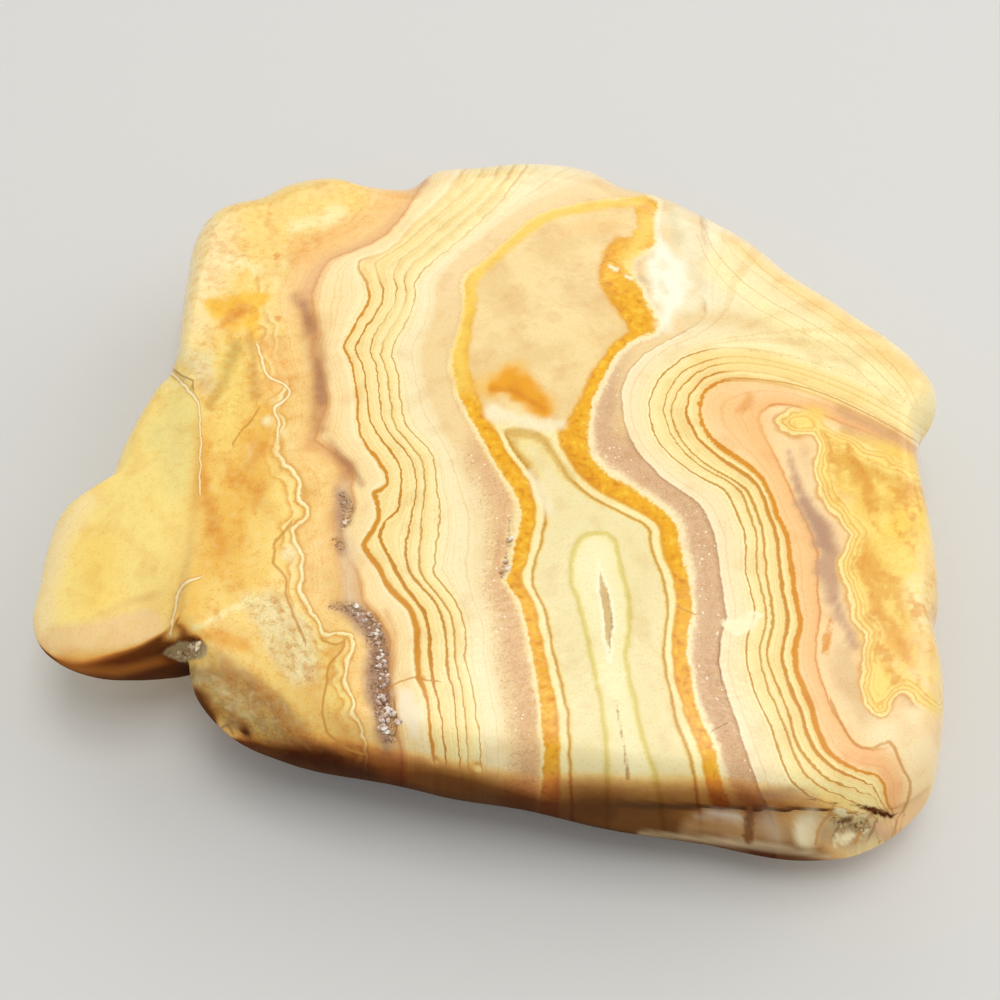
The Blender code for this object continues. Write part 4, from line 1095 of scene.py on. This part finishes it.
agateFinish = {
    "roughness": 0.17,
    "tone": (1, 0.985, 0.88, 1),
    # the first and the last of its growth, and the colours on the way
    "coreBands": (0, 100, [(0, (250, 242, 200)), (12, (250, 240, 196)), (15.5, (247, 237, 184)),
        (18.4, (228, 214, 134)), (20.6, (224, 206, 124)), (22.8, (240, 226, 172)), (25, (243, 231, 184)),
        (36, (243, 229, 180)), (47, (244, 231, 184)), (49.4, (246, 227, 164)), (50.9, (222, 184, 100)),
        (52, (198, 144, 52)), (53.2, (232, 194, 112)), (54.8, (254, 241, 190)), (59.4, (252, 238, 180)),
        (61.0, (242, 198, 104)), (62.6, (228, 162, 34)), (66, (240, 175, 24)), (73, (242, 180, 28)),
        (76.2, (236, 176, 48)), (77.4, (248, 212, 128)), (78.6, (254, 241, 200))]),
    "leftBands": (78, 400, [(78, (254, 238, 186)), (80, (250, 230, 180)), (82.2, (238, 202, 148)),
        (85, (232, 190, 142)), (94, (230, 188, 142)), (101, (237, 202, 153)), (107, (244, 216, 168)),
        (116, (250, 232, 190)), (128, (253, 240, 202)), (136, (253, 240, 196)), (143, (254, 243, 190)),
        (147.5, (251, 230, 166)), (154, (253, 240, 186)), (157.5, (250, 228, 164)), (164, (254, 240, 184)),
        (169.5, (250, 226, 160)), (177, (253, 238, 180)), (182.5, (250, 224, 156)), (189.5, (255, 243, 198)),
        (194, (254, 233, 186)), (202, (253, 228, 176)), (211, (252, 226, 172)), (215.6, (238, 188, 122)),
        (217.4, (218, 160, 96)), (222, (232, 184, 126)), (234, (238, 190, 126)), (243, (246, 204, 134)),
        (251, (250, 210, 140)), (262, (252, 216, 144)), (272, (248, 208, 132)), (277.6, (222, 164, 80)),
        (279.2, (255, 246, 198)), (282.2, (254, 240, 182)), (284.2, (224, 164, 74)), (288, (252, 222, 140)),
        (292, (254, 232, 156)), (294.2, (232, 176, 84)), (298, (250, 214, 122)), (302, (253, 226, 144)),
        (310, (249, 212, 120)), (400, (250, 216, 130))]),
    "rightBands": (78, 300, [(78, (254, 238, 190)), (80, (252, 238, 200)), (82.4, (238, 206, 168)),
        (85, (226, 188, 150)), (96, (219, 179, 142)), (107, (222, 183, 144)), (110.8, (204, 162, 122)),
        (111.8, (190, 146, 104)), (113.2, (254, 242, 212)), (119, (251, 235, 198)), (128, (252, 236, 194)),
        (135, (254, 242, 196)), (141.5, (254, 243, 188)), (146.5, (250, 230, 166)), (153, (253, 240, 184)),
        (156, (250, 226, 160)), (162, (253, 237, 176)), (168.5, (250, 224, 158)), (175.5, (254, 238, 178)),
        (179.5, (250, 222, 154)), (185, (253, 220, 168)), (189, (252, 211, 158)), (196, (252, 206, 150)),
        (200.4, (250, 196, 136)), (202, (222, 150, 76)), (204, (253, 222, 172)), (220, (252, 220, 174)),
        (300, (251, 216, 150))]),
    # place in the growth, half width, strength, colour
    "leftThin": [(140, 1.0, 0.85, (210, 156, 50)), (151, 1.0, 0.9, (206, 150, 44)),
        (160, 1.1, 0.95, (198, 138, 28)), (173, 1.3, 1.0, (202, 138, 26)), (186, 1.9, 1.0, (214, 146, 32))],
    "rightThin": [(138, 1.1, 0.9, (206, 146, 38)), (150, 1.0, 0.85, (208, 150, 48)),
        (158, 1.0, 0.9, (206, 148, 44)), (172, 1.3, 0.95, (208, 142, 34)), (182, 1.9, 1.0, (222, 150, 36))],
    "orangeYellow": (249, 214, 102),
    "mauveFaded": (245, 217, 166),
    "scallopTint": (251, 219, 138),
    "fieldPale": (248, 223, 170),
    "fieldDeep": (238, 207, 152),
    # painted glints in the mauve
    "speck": (255, 248, 228),
    "veinEdge": (220, 158, 76),
    # painted shade in the ledge's crease
    "creaseShadeTint": (104, 58, 26),
    # painted shade: how the flanks darken as they turn down and away from the light: red, green and blue that
    # are left
    "flank": [(0.0, (1, 1, 1)), (0.06, (1, 0.94, 0.80)), (0.14, (0.98, 0.78, 0.48)),
        (0.24, (0.74, 0.46, 0.20)), (0.36, (0.42, 0.21, 0.07)), (0.50, (0.19, 0.08, 0.027)),
        (0.70, (0.13, 0.055, 0.022)), (1.0, (0.10, 0.05, 0.03))],
    # how much each is roughened by noise
    "rag": {"lines": 0.9, "orange": 1.6, "scallop": 12, "heart": 9, "heartMottle": 1.2, "crispWashes": 1.5,
            "field": 3, "beds": 0.06, "veins": 0.7, "veinMottle": 0.4, "crease": 0.1, "flank": 0.03,
            "specks": 0.1, "patches": 0.5},
    # how much of each counts
    "shares": {"calmHeart": 0.6, "outerHeart": 0.38, "farLines": 0.45, "boldLines": 0.85, "everyLine": 0.55,
               "outerDeep": 0.6, "calmGrain": 0.75, "hairsRight": 0.8, "specks": 0.85, "veinEdge": 0.6,
               "crease": 0.4},
    "lineEdges": (0.6, 1.6, 2.2),  # in half widths: whole within, gone beyond, and farther when far back
    "lumpsMiddle": 0.45,
    "hairsPerPoint": 0.6,
    "specksPerMillimetre": 2.1,
    "dullRoughness": 0.9,
    # from, to, and how strong
    "sides": (-10, 10),
    "beds": (0.02, 0.2),
    "field": (-2, 5, 0.95),
    "fieldTone": (-0.5, 0.6),
    "linesOnFlank": (0.06, 0.34, 0.85),
    "linesVary": (-0.6, 0.6, 0.25),
    "specks": (0.08, 0.2),
    "speckPlaces": (-0.2, 0.3),
    "vein": (0.5, 1.9),
    "veinEdges": (0.9, 1.7, 2.2, 3.6),
    "crease": (0.1, 0.5),
    "grooveShut": (0.1, 0.5, 0.97),
    "lipShut": (-1.2, 1.2, 0.95),
    "flankShut": (0.12, 0.5, 0.85),
    # the shader's noises: millimetres, detail, where in the noise it starts
    "noises": {"fine": (0.3, 1.0, 19.0), "mottle": (0.6, 2.0, 83.0), "grain": (0.14, 1.0, 41.0)},
    "relief": (0.5, 1.0, 57.0),
    "bumps": 0.06,
    "bumpier": {"beds": 1, "matt": 0.5, "mauve": 0.25},
    "bumpStrength": 0.6,
    "bumpHeight": 0.25 * mm,
    "rougher": {"crease": 0.5, "turned": 0.32, "beds": 0.25, "matt": 0.3, "mauve": 0.12},
    # where in the growth each thing starts, is whole, starts to end, and ends
    "orange": (61.6, 63.6, 75.5, 77.5),
    "orangeRagged": (66, 74, 82, 88),
    "orangeYellowed": (58, 62, 79, 82),
    "mauve": (81, 85, 109, 114),
    "coreEnds": (77.8, 78.8),
    "scallopRagged": (258, 274),
    "scallopLost": (262, 272),
    "outerField": (214, 222),
    "outerDeep": (240, 268),
    "outerMottled": (290, 304),
    "hairsStart": (112, 120),
    "hairsEndLeft": (262, 276),
    "hairsFadeRight": (198, 206),
    # and in from the edge of the heart
    "fringes": (-6, -1.5, 11, 22, 0.94),
    "heartMottled": (6, 12),
    "hairsEndHeart": (-4, 0),
    # noises and how much of each, from, to, strength, colour, and how it is laid on
    "speckles": {
        "orange": [({"mottle": 1}, 0.05, 0.4, 0.85, (220, 142, 8), "MIX"),
                   ({"mottle": -1}, 0.05, 0.4, 0.7, (252, 206, 66), "MIX")],
        "heart": [({"streaks": 1, "mottle": 0.9}, -0.1, 0.7, 0.8, (228, 164, 68), "MIX"),
                  ({"streaks": -1, "mottle": 0.9}, -0.1, 0.7, 0.7, (254, 230, 136), "MIX")],
        "outer": [({"mottle": 1, "grain": 0.7}, -0.1, 0.7, 0.42, (240, 198, 132), "MULTIPLY"),
                  ({"mottle": -1, "grain": 0.5}, 0.0, 0.8, 0.32, (255, 243, 196), "MIX")],
        "cloud": [({"cloud": 1}, 0.0, 0.7, 0.2, (222, 180, 118), "MULTIPLY")],
        "hairs": [({"hairs": 1}, 0.48, 0.66, 0.24, (228, 194, 138), "MULTIPLY")],
        "grain": [({"grain": 1}, 0.0, 0.5, 0.22, (222, 182, 130), "MULTIPLY")],
        "mauve": [({"grain": 1, "mottle": 0.6}, -0.2, 0.6, 0.3, (168, 128, 100), "MIX")],
        "beds": [({"grain": 1, "fine": 0.5}, -0.1, 0.4, 0.8, (124, 90, 70), "MIX")],
        "matt": [({"mottle": 1, "grain": 0.6}, -0.3, 0.6, 0.4, (206, 172, 128), "MULTIPLY")],
    },
}


def readStone(r):
    # the noises, the two sides, and the growth with ragged lines and lumpy fronts past the scallop
    finish, rag = agateFinish, agateFinish["rag"]
    r.place = r.inMillimetres()
    r.noises = {name: r.mark(name) for name in ("slow", "cloud", "streaks")}
    for name, noiseForm in finish["noises"].items():
        r.noises[name] = r.rag(r.place, *noiseForm)
    r.slow, r.fine, r.mottle = (r.noises[name] for name in ("slow", "fine", "mottle"))
    r.patches = r.slow + r.mottle * rag["patches"]
    r.right = r.ease(r.mark("right"), *finish["sides"])
    r.left = 1 - r.right
    lumps = finish["lumpsMiddle"] - r.mark("lumps")
    growth = r.mark("growth") + r.fine * rag["lines"]
    growth = growth + r.fine * rag["orange"] * r.between(growth, *finish["orangeRagged"])
    r.growth = growth + lumps * rag["scallop"] * r.left * r.ease(growth, *finish["scallopRagged"])
    r.noises["hairs"] = r.node("ShaderNodeTexNoise", {"noise_dimensions": "1D"},
                               {"W": r.growth * finish["hairsPerPoint"], "Scale": 1.0, "Detail": 2.0})
    r.inHeart = r.mark("heartInside") + lumps * rag["heart"] + r.mottle * rag["heartMottle"] + r.fine
    r.faint = r.mask("mauveFade")
    r.inMauve = r.between(r.growth, *finish["mauve"])
    r.calm, r.farSoft, r.flank, r.matt = (r.mark(name) for name in ("calm", "farSoft", "flank", "matt"))
    r.beds = r.ease(r.mark("sunk") + r.fine * rag["beds"], *finish["beds"])


def bandColours(r):
    finish, growth = agateFinish, r.growth
    core = r.ramp(growth, *finish["coreBands"])
    leftSide, rightSide = r.ramp(growth, *finish["leftBands"]), r.ramp(growth, *finish["rightBands"])
    lost = r.ease(growth, *finish["scallopLost"]) * r.mask("scallopFade")
    leftSide = r.paint(leftSide, lost, finish["scallopTint"])
    colour = r.blend(r.ease(growth, *finish["coreEnds"]), core, r.blend(r.right, leftSide, rightSide))
    colour = r.paint(colour, r.inMauve * r.faint, finish["mauveFaded"])
    colour = r.speckle(colour, "orange", r.between(growth, *finish["orange"]))
    yellowed = r.mask("yellowBand") * r.between(growth, *finish["orangeYellowed"])
    colour = r.paint(colour, yellowed, finish["orangeYellow"])
    field = r.ease(r.mark("upperField") + r.mottle * finish["rag"]["field"], *finish["field"])
    deep = r.ease(r.patches, *finish["fieldTone"])
    return r.blend(field, colour, r.blend(deep, dye(finish["fieldPale"]), dye(finish["fieldDeep"])))


def stainedAndShaded(r, colour, layer, chosen):
    # the soft stains and painted light and shade come mixed, the crisp ones are drawn here
    colour = r.blend(r.mark(layer + "Hides"), colour, (0, 0, 0, 1))
    colour = r.blend(1.0, colour, r.mark(layer, 0), "ADD")
    for name, (tint, softness, ragged, strength, runs) in chosen.items():
        if tint and softness < crispBelow:
            cover = r.mark(name) + r.fine * agateFinish["rag"]["crispWashes"]
            colour = r.paint(colour, r.ease(cover, -softness, softness, strength), tint)
    return colour


def heartColours(r, colour):
    # the mottled heart at the right, fringed all round
    finish, shares = agateFinish, agateFinish["shares"]
    fringed = r.between(r.inHeart, *finish["fringes"]) * (1 - r.mask("fringeFade"))
    colour = r.blend(fringed, colour, r.ramp(r.inHeart, -10, 30, heartFringes))
    outer = r.ease(r.growth, *finish["outerMottled"]) * r.left * (1 - r.calm * shares["calmHeart"])
    mottled = (outer * shares["outerHeart"]).maths("MAXIMUM", r.ease(r.inHeart, *finish["heartMottled"]))
    return r.speckle(colour, "heart", mottled)


def lineColours(r, colour):
    # the thin lines of the growth, softer and fainter far back, and lost on the flanks
    finish, shares = agateFinish, agateFinish["shares"]
    within, beyond, farther = finish["lineEdges"]
    shown = (1 - r.mask("lineFade")) * (1 - r.farSoft * shares["farLines"])
    shown = shown * (1 - r.ease(r.flank, *finish["linesOnFlank"]))
    thick = r.mask("lineBold") * shares["boldLines"] + shares["everyLine"]
    thick = thick + r.ease(r.slow, *finish["linesVary"])
    wide = r.mark("spread") / thick
    for lines, side in ((finish["leftThin"], r.left), (finish["rightThin"], r.right)):
        for at, width, strength, tint in lines:
            away = abs(r.growth - at) * wide
            line = 1 - r.ease(away, width * within, r.farSoft * farther + width * beyond)
            colour = r.paint(colour, line * side * shown * strength, tint)
    return colour


def grainColours(r, colour):
    # grain of the outer field, cloud, hairs along the growth, grain and painted glints in the mauve, and the
    # crystals' beds
    finish, shares, growth = agateFinish, agateFinish["shares"], r.growth
    deep = r.ease(growth, *finish["outerDeep"]) * shares["outerDeep"] + (1 - shares["outerDeep"])
    outer = deep * r.ease(growth, *finish["outerField"])
    colour = r.speckle(colour, "outer", outer * r.left * (1 - r.calm * shares["calmGrain"]))
    colour = r.speckle(colour, "cloud")
    hairs = r.ease(growth, *finish["hairsStart"]) * (1 - r.ease(growth, *finish["hairsEndLeft"]) * r.left)
    hairs = hairs * (1 - r.ease(r.inHeart, *finish["hairsEndHeart"]))
    hairs = hairs * (1 - r.ease(growth, *finish["hairsFadeRight"]) * r.right * shares["hairsRight"])
    colour = r.speckle(colour, "hairs", hairs)
    colour = r.speckle(colour, "grain")
    colour = r.speckle(colour, "mauve", r.grainy)
    # painted glints: pale pinpoints strewn over the mauve
    specks = r.node("ShaderNodeTexVoronoi", {}, {"Vector": r.place, "Scale": finish["specksPerMillimetre"]})
    sparkle = 1 - r.ease(specks + r.fine * finish["rag"]["specks"], *finish["specks"])
    sparkle = sparkle * r.ease(r.patches, *finish["speckPlaces"])
    colour = r.paint(colour, sparkle * r.grainy * shares["specks"], finish["speck"])
    colour = r.speckle(colour, "beds", r.beds)
    colour = r.speckle(colour, "matt", r.matt)
    return r.blend(1.0, colour, finish["tone"], "MULTIPLY")


def veinColours(r, colour):
    finish, rag = agateFinish, agateFinish["rag"]
    for name, (tint, strength, runs) in veins.items():
        across = abs(r.mark(name) + r.fine * rag["veins"] + r.mottle * rag["veinMottle"])
        there = r.mark(name + "There")
        if name == "paleVeins":  # with ochre along both edges
            beside = r.between(across, *finish["veinEdges"]) * there
            colour = r.paint(colour, beside * finish["shares"]["veinEdge"], finish["veinEdge"])
        colour = r.paint(colour, (1 - r.ease(across, *finish["vein"])) * there * strength, tint)
    return colour


def agateMaterial():
    finish = agateFinish
    r = Recipe("banded_agate")
    readStone(r)
    r.grainy = r.inMauve * (1 - r.faint)
    colour = stainedAndShaded(r, bandColours(r), "stain", washes)
    colour = grainColours(r, lineColours(r, heartColours(r, colour)))
    # painted shade: the flanks are darker and browner, turned away from the light and with no light coming
    # through them
    shadeRamp = r.node("ShaderNodeValToRGB", {"stops": [(at, (*left, 1)) for at, left in finish["flank"]]},
                   {0: r.flank + r.mottle * finish["rag"]["flank"]})
    colour = stainedAndShaded(r, r.blend(1.0, colour, shadeRamp, "MULTIPLY"), "lateStain", lateWashes)
    colour = veinColours(r, colour)
    # painted shade along the ledge's crease
    crease = r.ease(r.mark("crease") + r.fine * finish["rag"]["crease"], *finish["crease"])
    colour = r.paint(colour, crease * finish["shares"]["crease"], finish["creaseShadeTint"])

    worn = {"crease": crease, "turned": r.mark("turned"), "beds": r.beds, "matt": r.matt, "mauve": r.grainy}
    rough = sum(worn[name] * share for name, share in finish["rougher"].items()) + finish["roughness"]
    uneven = sum(worn[name] * share for name, share in finish["bumpier"].items()) + finish["bumps"]
    relief = r.rag(r.place, *finish["relief"]) * uneven
    bump = r.node("ShaderNodeBump", {},
                  {"Height": relief, "Strength": finish["bumpStrength"], "Distance": finish["bumpHeight"]})
    # no shine where light doesn't reach: the creases, and low on the flanks
    shut = r.ease(r.mark("groove"), *finish["grooveShut"])
    shut = shut.maths("MAXIMUM", r.ease(r.mark("lipDark"), *finish["lipShut"]))
    shut = shut.maths("MAXIMUM", r.ease(r.flank, *finish["flankShut"]))
    polished = r.node("ShaderNodeBsdfPrincipled", {},
                      {"Base Color": colour, "Roughness": rough, "Normal": bump})
    dull = r.node("ShaderNodeBsdfPrincipled", {},
                  {"Base Color": colour, "Roughness": finish["dullRoughness"], "Specular IOR Level": 0.0,
                   "Normal": bump})
    return r.finish(r.node("ShaderNodeMixShader", {}, {0: shut, 1: polished, 2: dull}))


mesh, places, normals, sunk = stoneMesh()
markStone(mesh, places, normals, sunk)
stone = bpy.data.objects.new("banded_agate", mesh)
bpy.context.scene.collection.objects.link(stone)
mesh.materials.append(agateMaterial())
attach(stone, "root")
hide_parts("agate_stone")
print("stone", len(mesh.vertices), "points", len(mesh.polygons), "faces")

# the quartz crystals that grew in the pits
druse = {
    # how golden they are, and runs of x, y, radius where they stand
    "beds": [
        (0.0, [[(342, 492, 3), (348, 508, 7), (344, 524, 4)], [(334, 541, 3), (341, 547, 4)],
               [(330, 605, 2), (352, 606, 6), (372, 620, 7), (383, 648, 8), (378, 690, 8), (388, 738, 7)],
               [(384, 702, 7), (396, 722, 7)], [(513, 516, 1), (510, 546, 2), (504, 578, 3)]]),
        (0.6, [[(170, 656, 5), (196, 648, 8)]]),
        (1.0, [[(836, 820, 5), (850, 828, 8), (866, 824, 5)]])],
    "bedRag": 5,
    "perSquareMetre": 7.5e6,
    "sides": 6,
    "radius": 0.13 * mm,
    "length": 0.22 * mm,
    "tip": 0.20 * mm,
    "weld": 0.002 * mm,
    "smallest": 0.45,
    "largest": 1.5,
    "lean": 0.9,  # radians either way
    "seed": 7,
}
quartzFinish = {
    "shade": (0.45, 2.0, 13.0),  # millimetres, detail, where in the noise it starts
    "shadeEnds": (-0.3, 0.4),
    "dark": (188, 152, 126),
    "pale": (252, 246, 236),
    "goldDark": (150, 116, 62),
    "goldPale": (252, 234, 180),
    "roughness": 0.06,
    "rougher": (-0.5, 0.5, 0.2),
    "ior": 1.54,
}


def crystalBed():
    # the part of the stone's skin where the crystals stand
    u, v = seenAt(places)
    cover, gold = np.full(len(u), farOutside), np.zeros(len(u))
    for golden, runs in druse["beds"]:
        here = washCover(runs, u, v)
        gold = np.where(here > cover, golden, gold)
        cover = np.maximum(cover, here)
    cover = cover + wander(places, "crystals") * druse["bedRag"]
    cover = cover + farOutside * (facing(places, normals) < leastFacing)
    kept = [tuple(face.vertices) for face in mesh.polygons if all(cover[k] > 0 for k in face.vertices)]
    used = sorted({k for face in kept for k in face})
    order = {k: n for n, k in enumerate(used)}
    bed = bpy.data.meshes.new("druse_quartz")
    bed.from_pydata(places[used] * mm, [], [tuple(order[k] for k in face) for face in kept])
    keep(bed, "golden", gold[used])
    return bed


def crystalTree(material):
    # a crystal pointed at both ends, on points strewn over the bed
    tree = bpy.data.node_groups.new("grow_crystals", "GeometryNodeTree")
    socket = tree.interface.new_socket
    socket("Geometry", in_out="INPUT", socket_type="NodeSocketGeometry")
    for name in ("perSquareMetre", "radius", "length", "tip", "weld", "smallest", "largest", "lean"):
        socket(name, in_out="INPUT", socket_type="NodeSocketFloat")
    for name in ("sides", "seed"):
        socket(name, in_out="INPUT", socket_type="NodeSocketInt")
    socket("Geometry", in_out="OUTPUT", socket_type="NodeSocketGeometry")

    def add(kind, settings=None, values=None):
        node = tree.nodes.new(kind)
        for name, setting in (settings or {}).items():
            setattr(node, name, setting)
        for name, value in (values or {}).items():
            if isinstance(value, bpy.types.NodeSocket):
                tree.links.new(value, node.inputs[name])
            elif isinstance(value, list):
                for each in reversed(value):
                    tree.links.new(each, node.inputs[name])
            else:
                node.inputs[name].default_value = value
        return node

    def times(value, factor):
        return add("ShaderNodeMath", {"operation": "MULTIPLY"}, {0: value, 1: factor}).outputs[0]

    def moved(piece, rise, turn):
        place = add("ShaderNodeCombineXYZ", {}, {"Z": rise}).outputs[0]
        values = {"Geometry": piece, "Translation": place, "Rotation": turn}
        return add("GeometryNodeTransform", {}, values).outputs[0]

    def everyWay(value):
        return add("ShaderNodeCombineXYZ", {}, {"X": value, "Y": value, "Z": value}).outputs[0]

    given = add("NodeGroupInput").outputs
    prism = add("GeometryNodeMeshCylinder", {"fill_type": "NONE"},
                {"Vertices": given["sides"], "Radius": given["radius"], "Depth": given["length"]})
    cone = add("GeometryNodeMeshCone", {"fill_type": "NONE"},
               {"Vertices": given["sides"], "Radius Top": 0.0, "Radius Bottom": given["radius"],
                "Depth": given["tip"]})
    top = moved(cone.outputs["Mesh"], times(given["length"], 0.5), (0, 0, 0))
    foot = moved(cone.outputs["Mesh"], times(given["length"], -0.5), (math.pi, 0, 0))
    joined = add("GeometryNodeJoinGeometry", {}, {"Geometry": [prism.outputs["Mesh"], top, foot]})
    crystal = add("GeometryNodeMergeByDistance", {},
                  {"Geometry": joined.outputs[0], "Distance": given["weld"]})
    strewn = add("GeometryNodeDistributePointsOnFaces", {"distribute_method": "RANDOM"},
                 {"Mesh": given["Geometry"], "Density": given["perSquareMetre"], "Seed": given["seed"]})
    size = add("FunctionNodeRandomValue", {"data_type": "FLOAT"}, {2: given["smallest"], 3: given["largest"]})
    lean = add("FunctionNodeRandomValue", {"data_type": "FLOAT_VECTOR"},
               {0: everyWay(times(given["lean"], -1.0)), 1: everyWay(given["lean"])})
    leant = add("FunctionNodeEulerToRotation", {}, {0: lean.outputs[0]})
    turned = add("FunctionNodeRotateRotation", {"rotation_space": "LOCAL"},
                 {0: strewn.outputs["Rotation"], 1: leant.outputs[0]})
    placed = add("GeometryNodeInstanceOnPoints", {},
                 {"Points": strewn.outputs["Points"], "Instance": crystal.outputs[0],
                  "Rotation": turned.outputs[0], "Scale": size.outputs[1]})
    real = add("GeometryNodeRealizeInstances", {}, {"Geometry": placed.outputs[0]})
    dressed = add("GeometryNodeSetMaterial", {}, {"Geometry": real.outputs[0], "Material": material})
    add("NodeGroupOutput", {}, {0: dressed.outputs[0]})
    return tree


def quartzMaterial():
    finish = quartzFinish
    r = Recipe("druse_quartz")
    shade = r.rag(r.inMillimetres(), *finish["shade"])
    share = r.ease(shade, *finish["shadeEnds"])
    clear = r.blend(share, dye(finish["dark"]), dye(finish["pale"]))
    gold = r.blend(share, dye(finish["goldDark"]), dye(finish["goldPale"]))
    colour = r.blend(r.mark("golden"), clear, gold)
    rough = r.ease(shade, *finish["rougher"]) + finish["roughness"]
    return r.finish(r.node("ShaderNodeBsdfPrincipled", {},
                           {"Base Color": colour, "Roughness": rough, "IOR": finish["ior"]}))


def growCrystals():
    bed = bpy.data.objects.new("druse_quartz", crystalBed())
    bpy.context.scene.collection.objects.link(bed)
    tree = crystalTree(quartzMaterial())
    modifier = bed.modifiers.new("crystals", "NODES")
    modifier.node_group = tree
    for item in tree.interface.items_tree:
        if item.in_out == "INPUT" and item.name in druse:
            modifier[item.identifier] = druse[item.name]
    seen = bed.evaluated_get(bpy.context.evaluated_depsgraph_get())
    grown = bpy.data.meshes.new_from_object(seen)
    bed.modifiers.clear()
    bed.data = grown
    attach(bed, "root")
    print("crystals", len(grown.vertices), "points", len(grown.polygons), "faces")


growCrystals()

# the floor, the light and the camera
stage = {
    "floor": 1.2,  # metres
    "floorTint": (214, 214, 212),
    "floorRough": 0.7,
    "sky": 0.56,
    "skyTint": (1.0, 0.99, 0.97, 1),
    "clipping": (0.005, 10),
}
lamps = {
    # name: place in millimetres, turn in degrees, width, height, watts, colour
    "overhead": ((28, -8, 420), (0, 0, 0), 170, 250, 0.66, (1.0, 0.99, 0.96)),
    "back": ((-40, 480, 250), (63.5, 0, 184.8), 500, 200, 0.35, (1.0, 0.99, 0.96)),
    "right": ((460, 160, 330), (56.6, 0, 109.2), 460, 460, 0.80, (1.0, 0.98, 0.95)),
}


def makeStage():
    half = stage["floor"] / 2
    floorMesh = bpy.data.meshes.new("studio_floor")
    corners = [(-half, -half, 0), (half, -half, 0), (half, half, 0), (-half, half, 0)]
    floorMesh.from_pydata(corners, [], [(0, 1, 2, 3)])
    floor = bpy.data.objects.new("studio_floor", floorMesh)
    bpy.context.scene.collection.objects.link(floor)
    r = Recipe("studio_floor")
    paint = r.node("ShaderNodeBsdfPrincipled", {},
                   {"Base Color": dye(stage["floorTint"]), "Roughness": stage["floorRough"]})
    floorMesh.materials.append(r.finish(paint))
    world = bpy.data.worlds.new("studio")
    world.use_nodes = True
    background = world.node_tree.nodes["Background"]
    background.inputs[0].default_value = stage["skyTint"]
    background.inputs[1].default_value = stage["sky"]
    bpy.context.scene.world = world


def makeLight():
    for name, (place, turn, width, height, watts, tint) in lamps.items():
        light = bpy.data.lights.new(name, "AREA")
        light.shape, light.size, light.size_y = "RECTANGLE", width * mm, height * mm
        light.energy, light.color = watts, tint
        lamp = bpy.data.objects.new(name, light)
        lamp.location = Vector(place) * mm
        lamp.rotation_euler = [math.radians(angle) for angle in turn]
        bpy.context.scene.collection.objects.link(lamp)


def makeCamera():
    camera = bpy.data.cameras.new("camera")
    camera.sensor_width = view["filmWidth"]
    camera.lens = view["reach"] / view["points"] * view["filmWidth"]
    camera.clip_start, camera.clip_end = stage["clipping"]
    eye = bpy.data.objects.new("camera", camera)
    eye.location = Vector(view["eye"]) * mm
    eye.rotation_euler = (view["tilt"], 0, 0)
    bpy.context.scene.collection.objects.link(eye)
    bpy.context.scene.camera = eye


makeStage()
makeLight()
makeCamera()
bpy.context.scene.view_settings.view_transform = "Standard"
print("stage, light and camera")
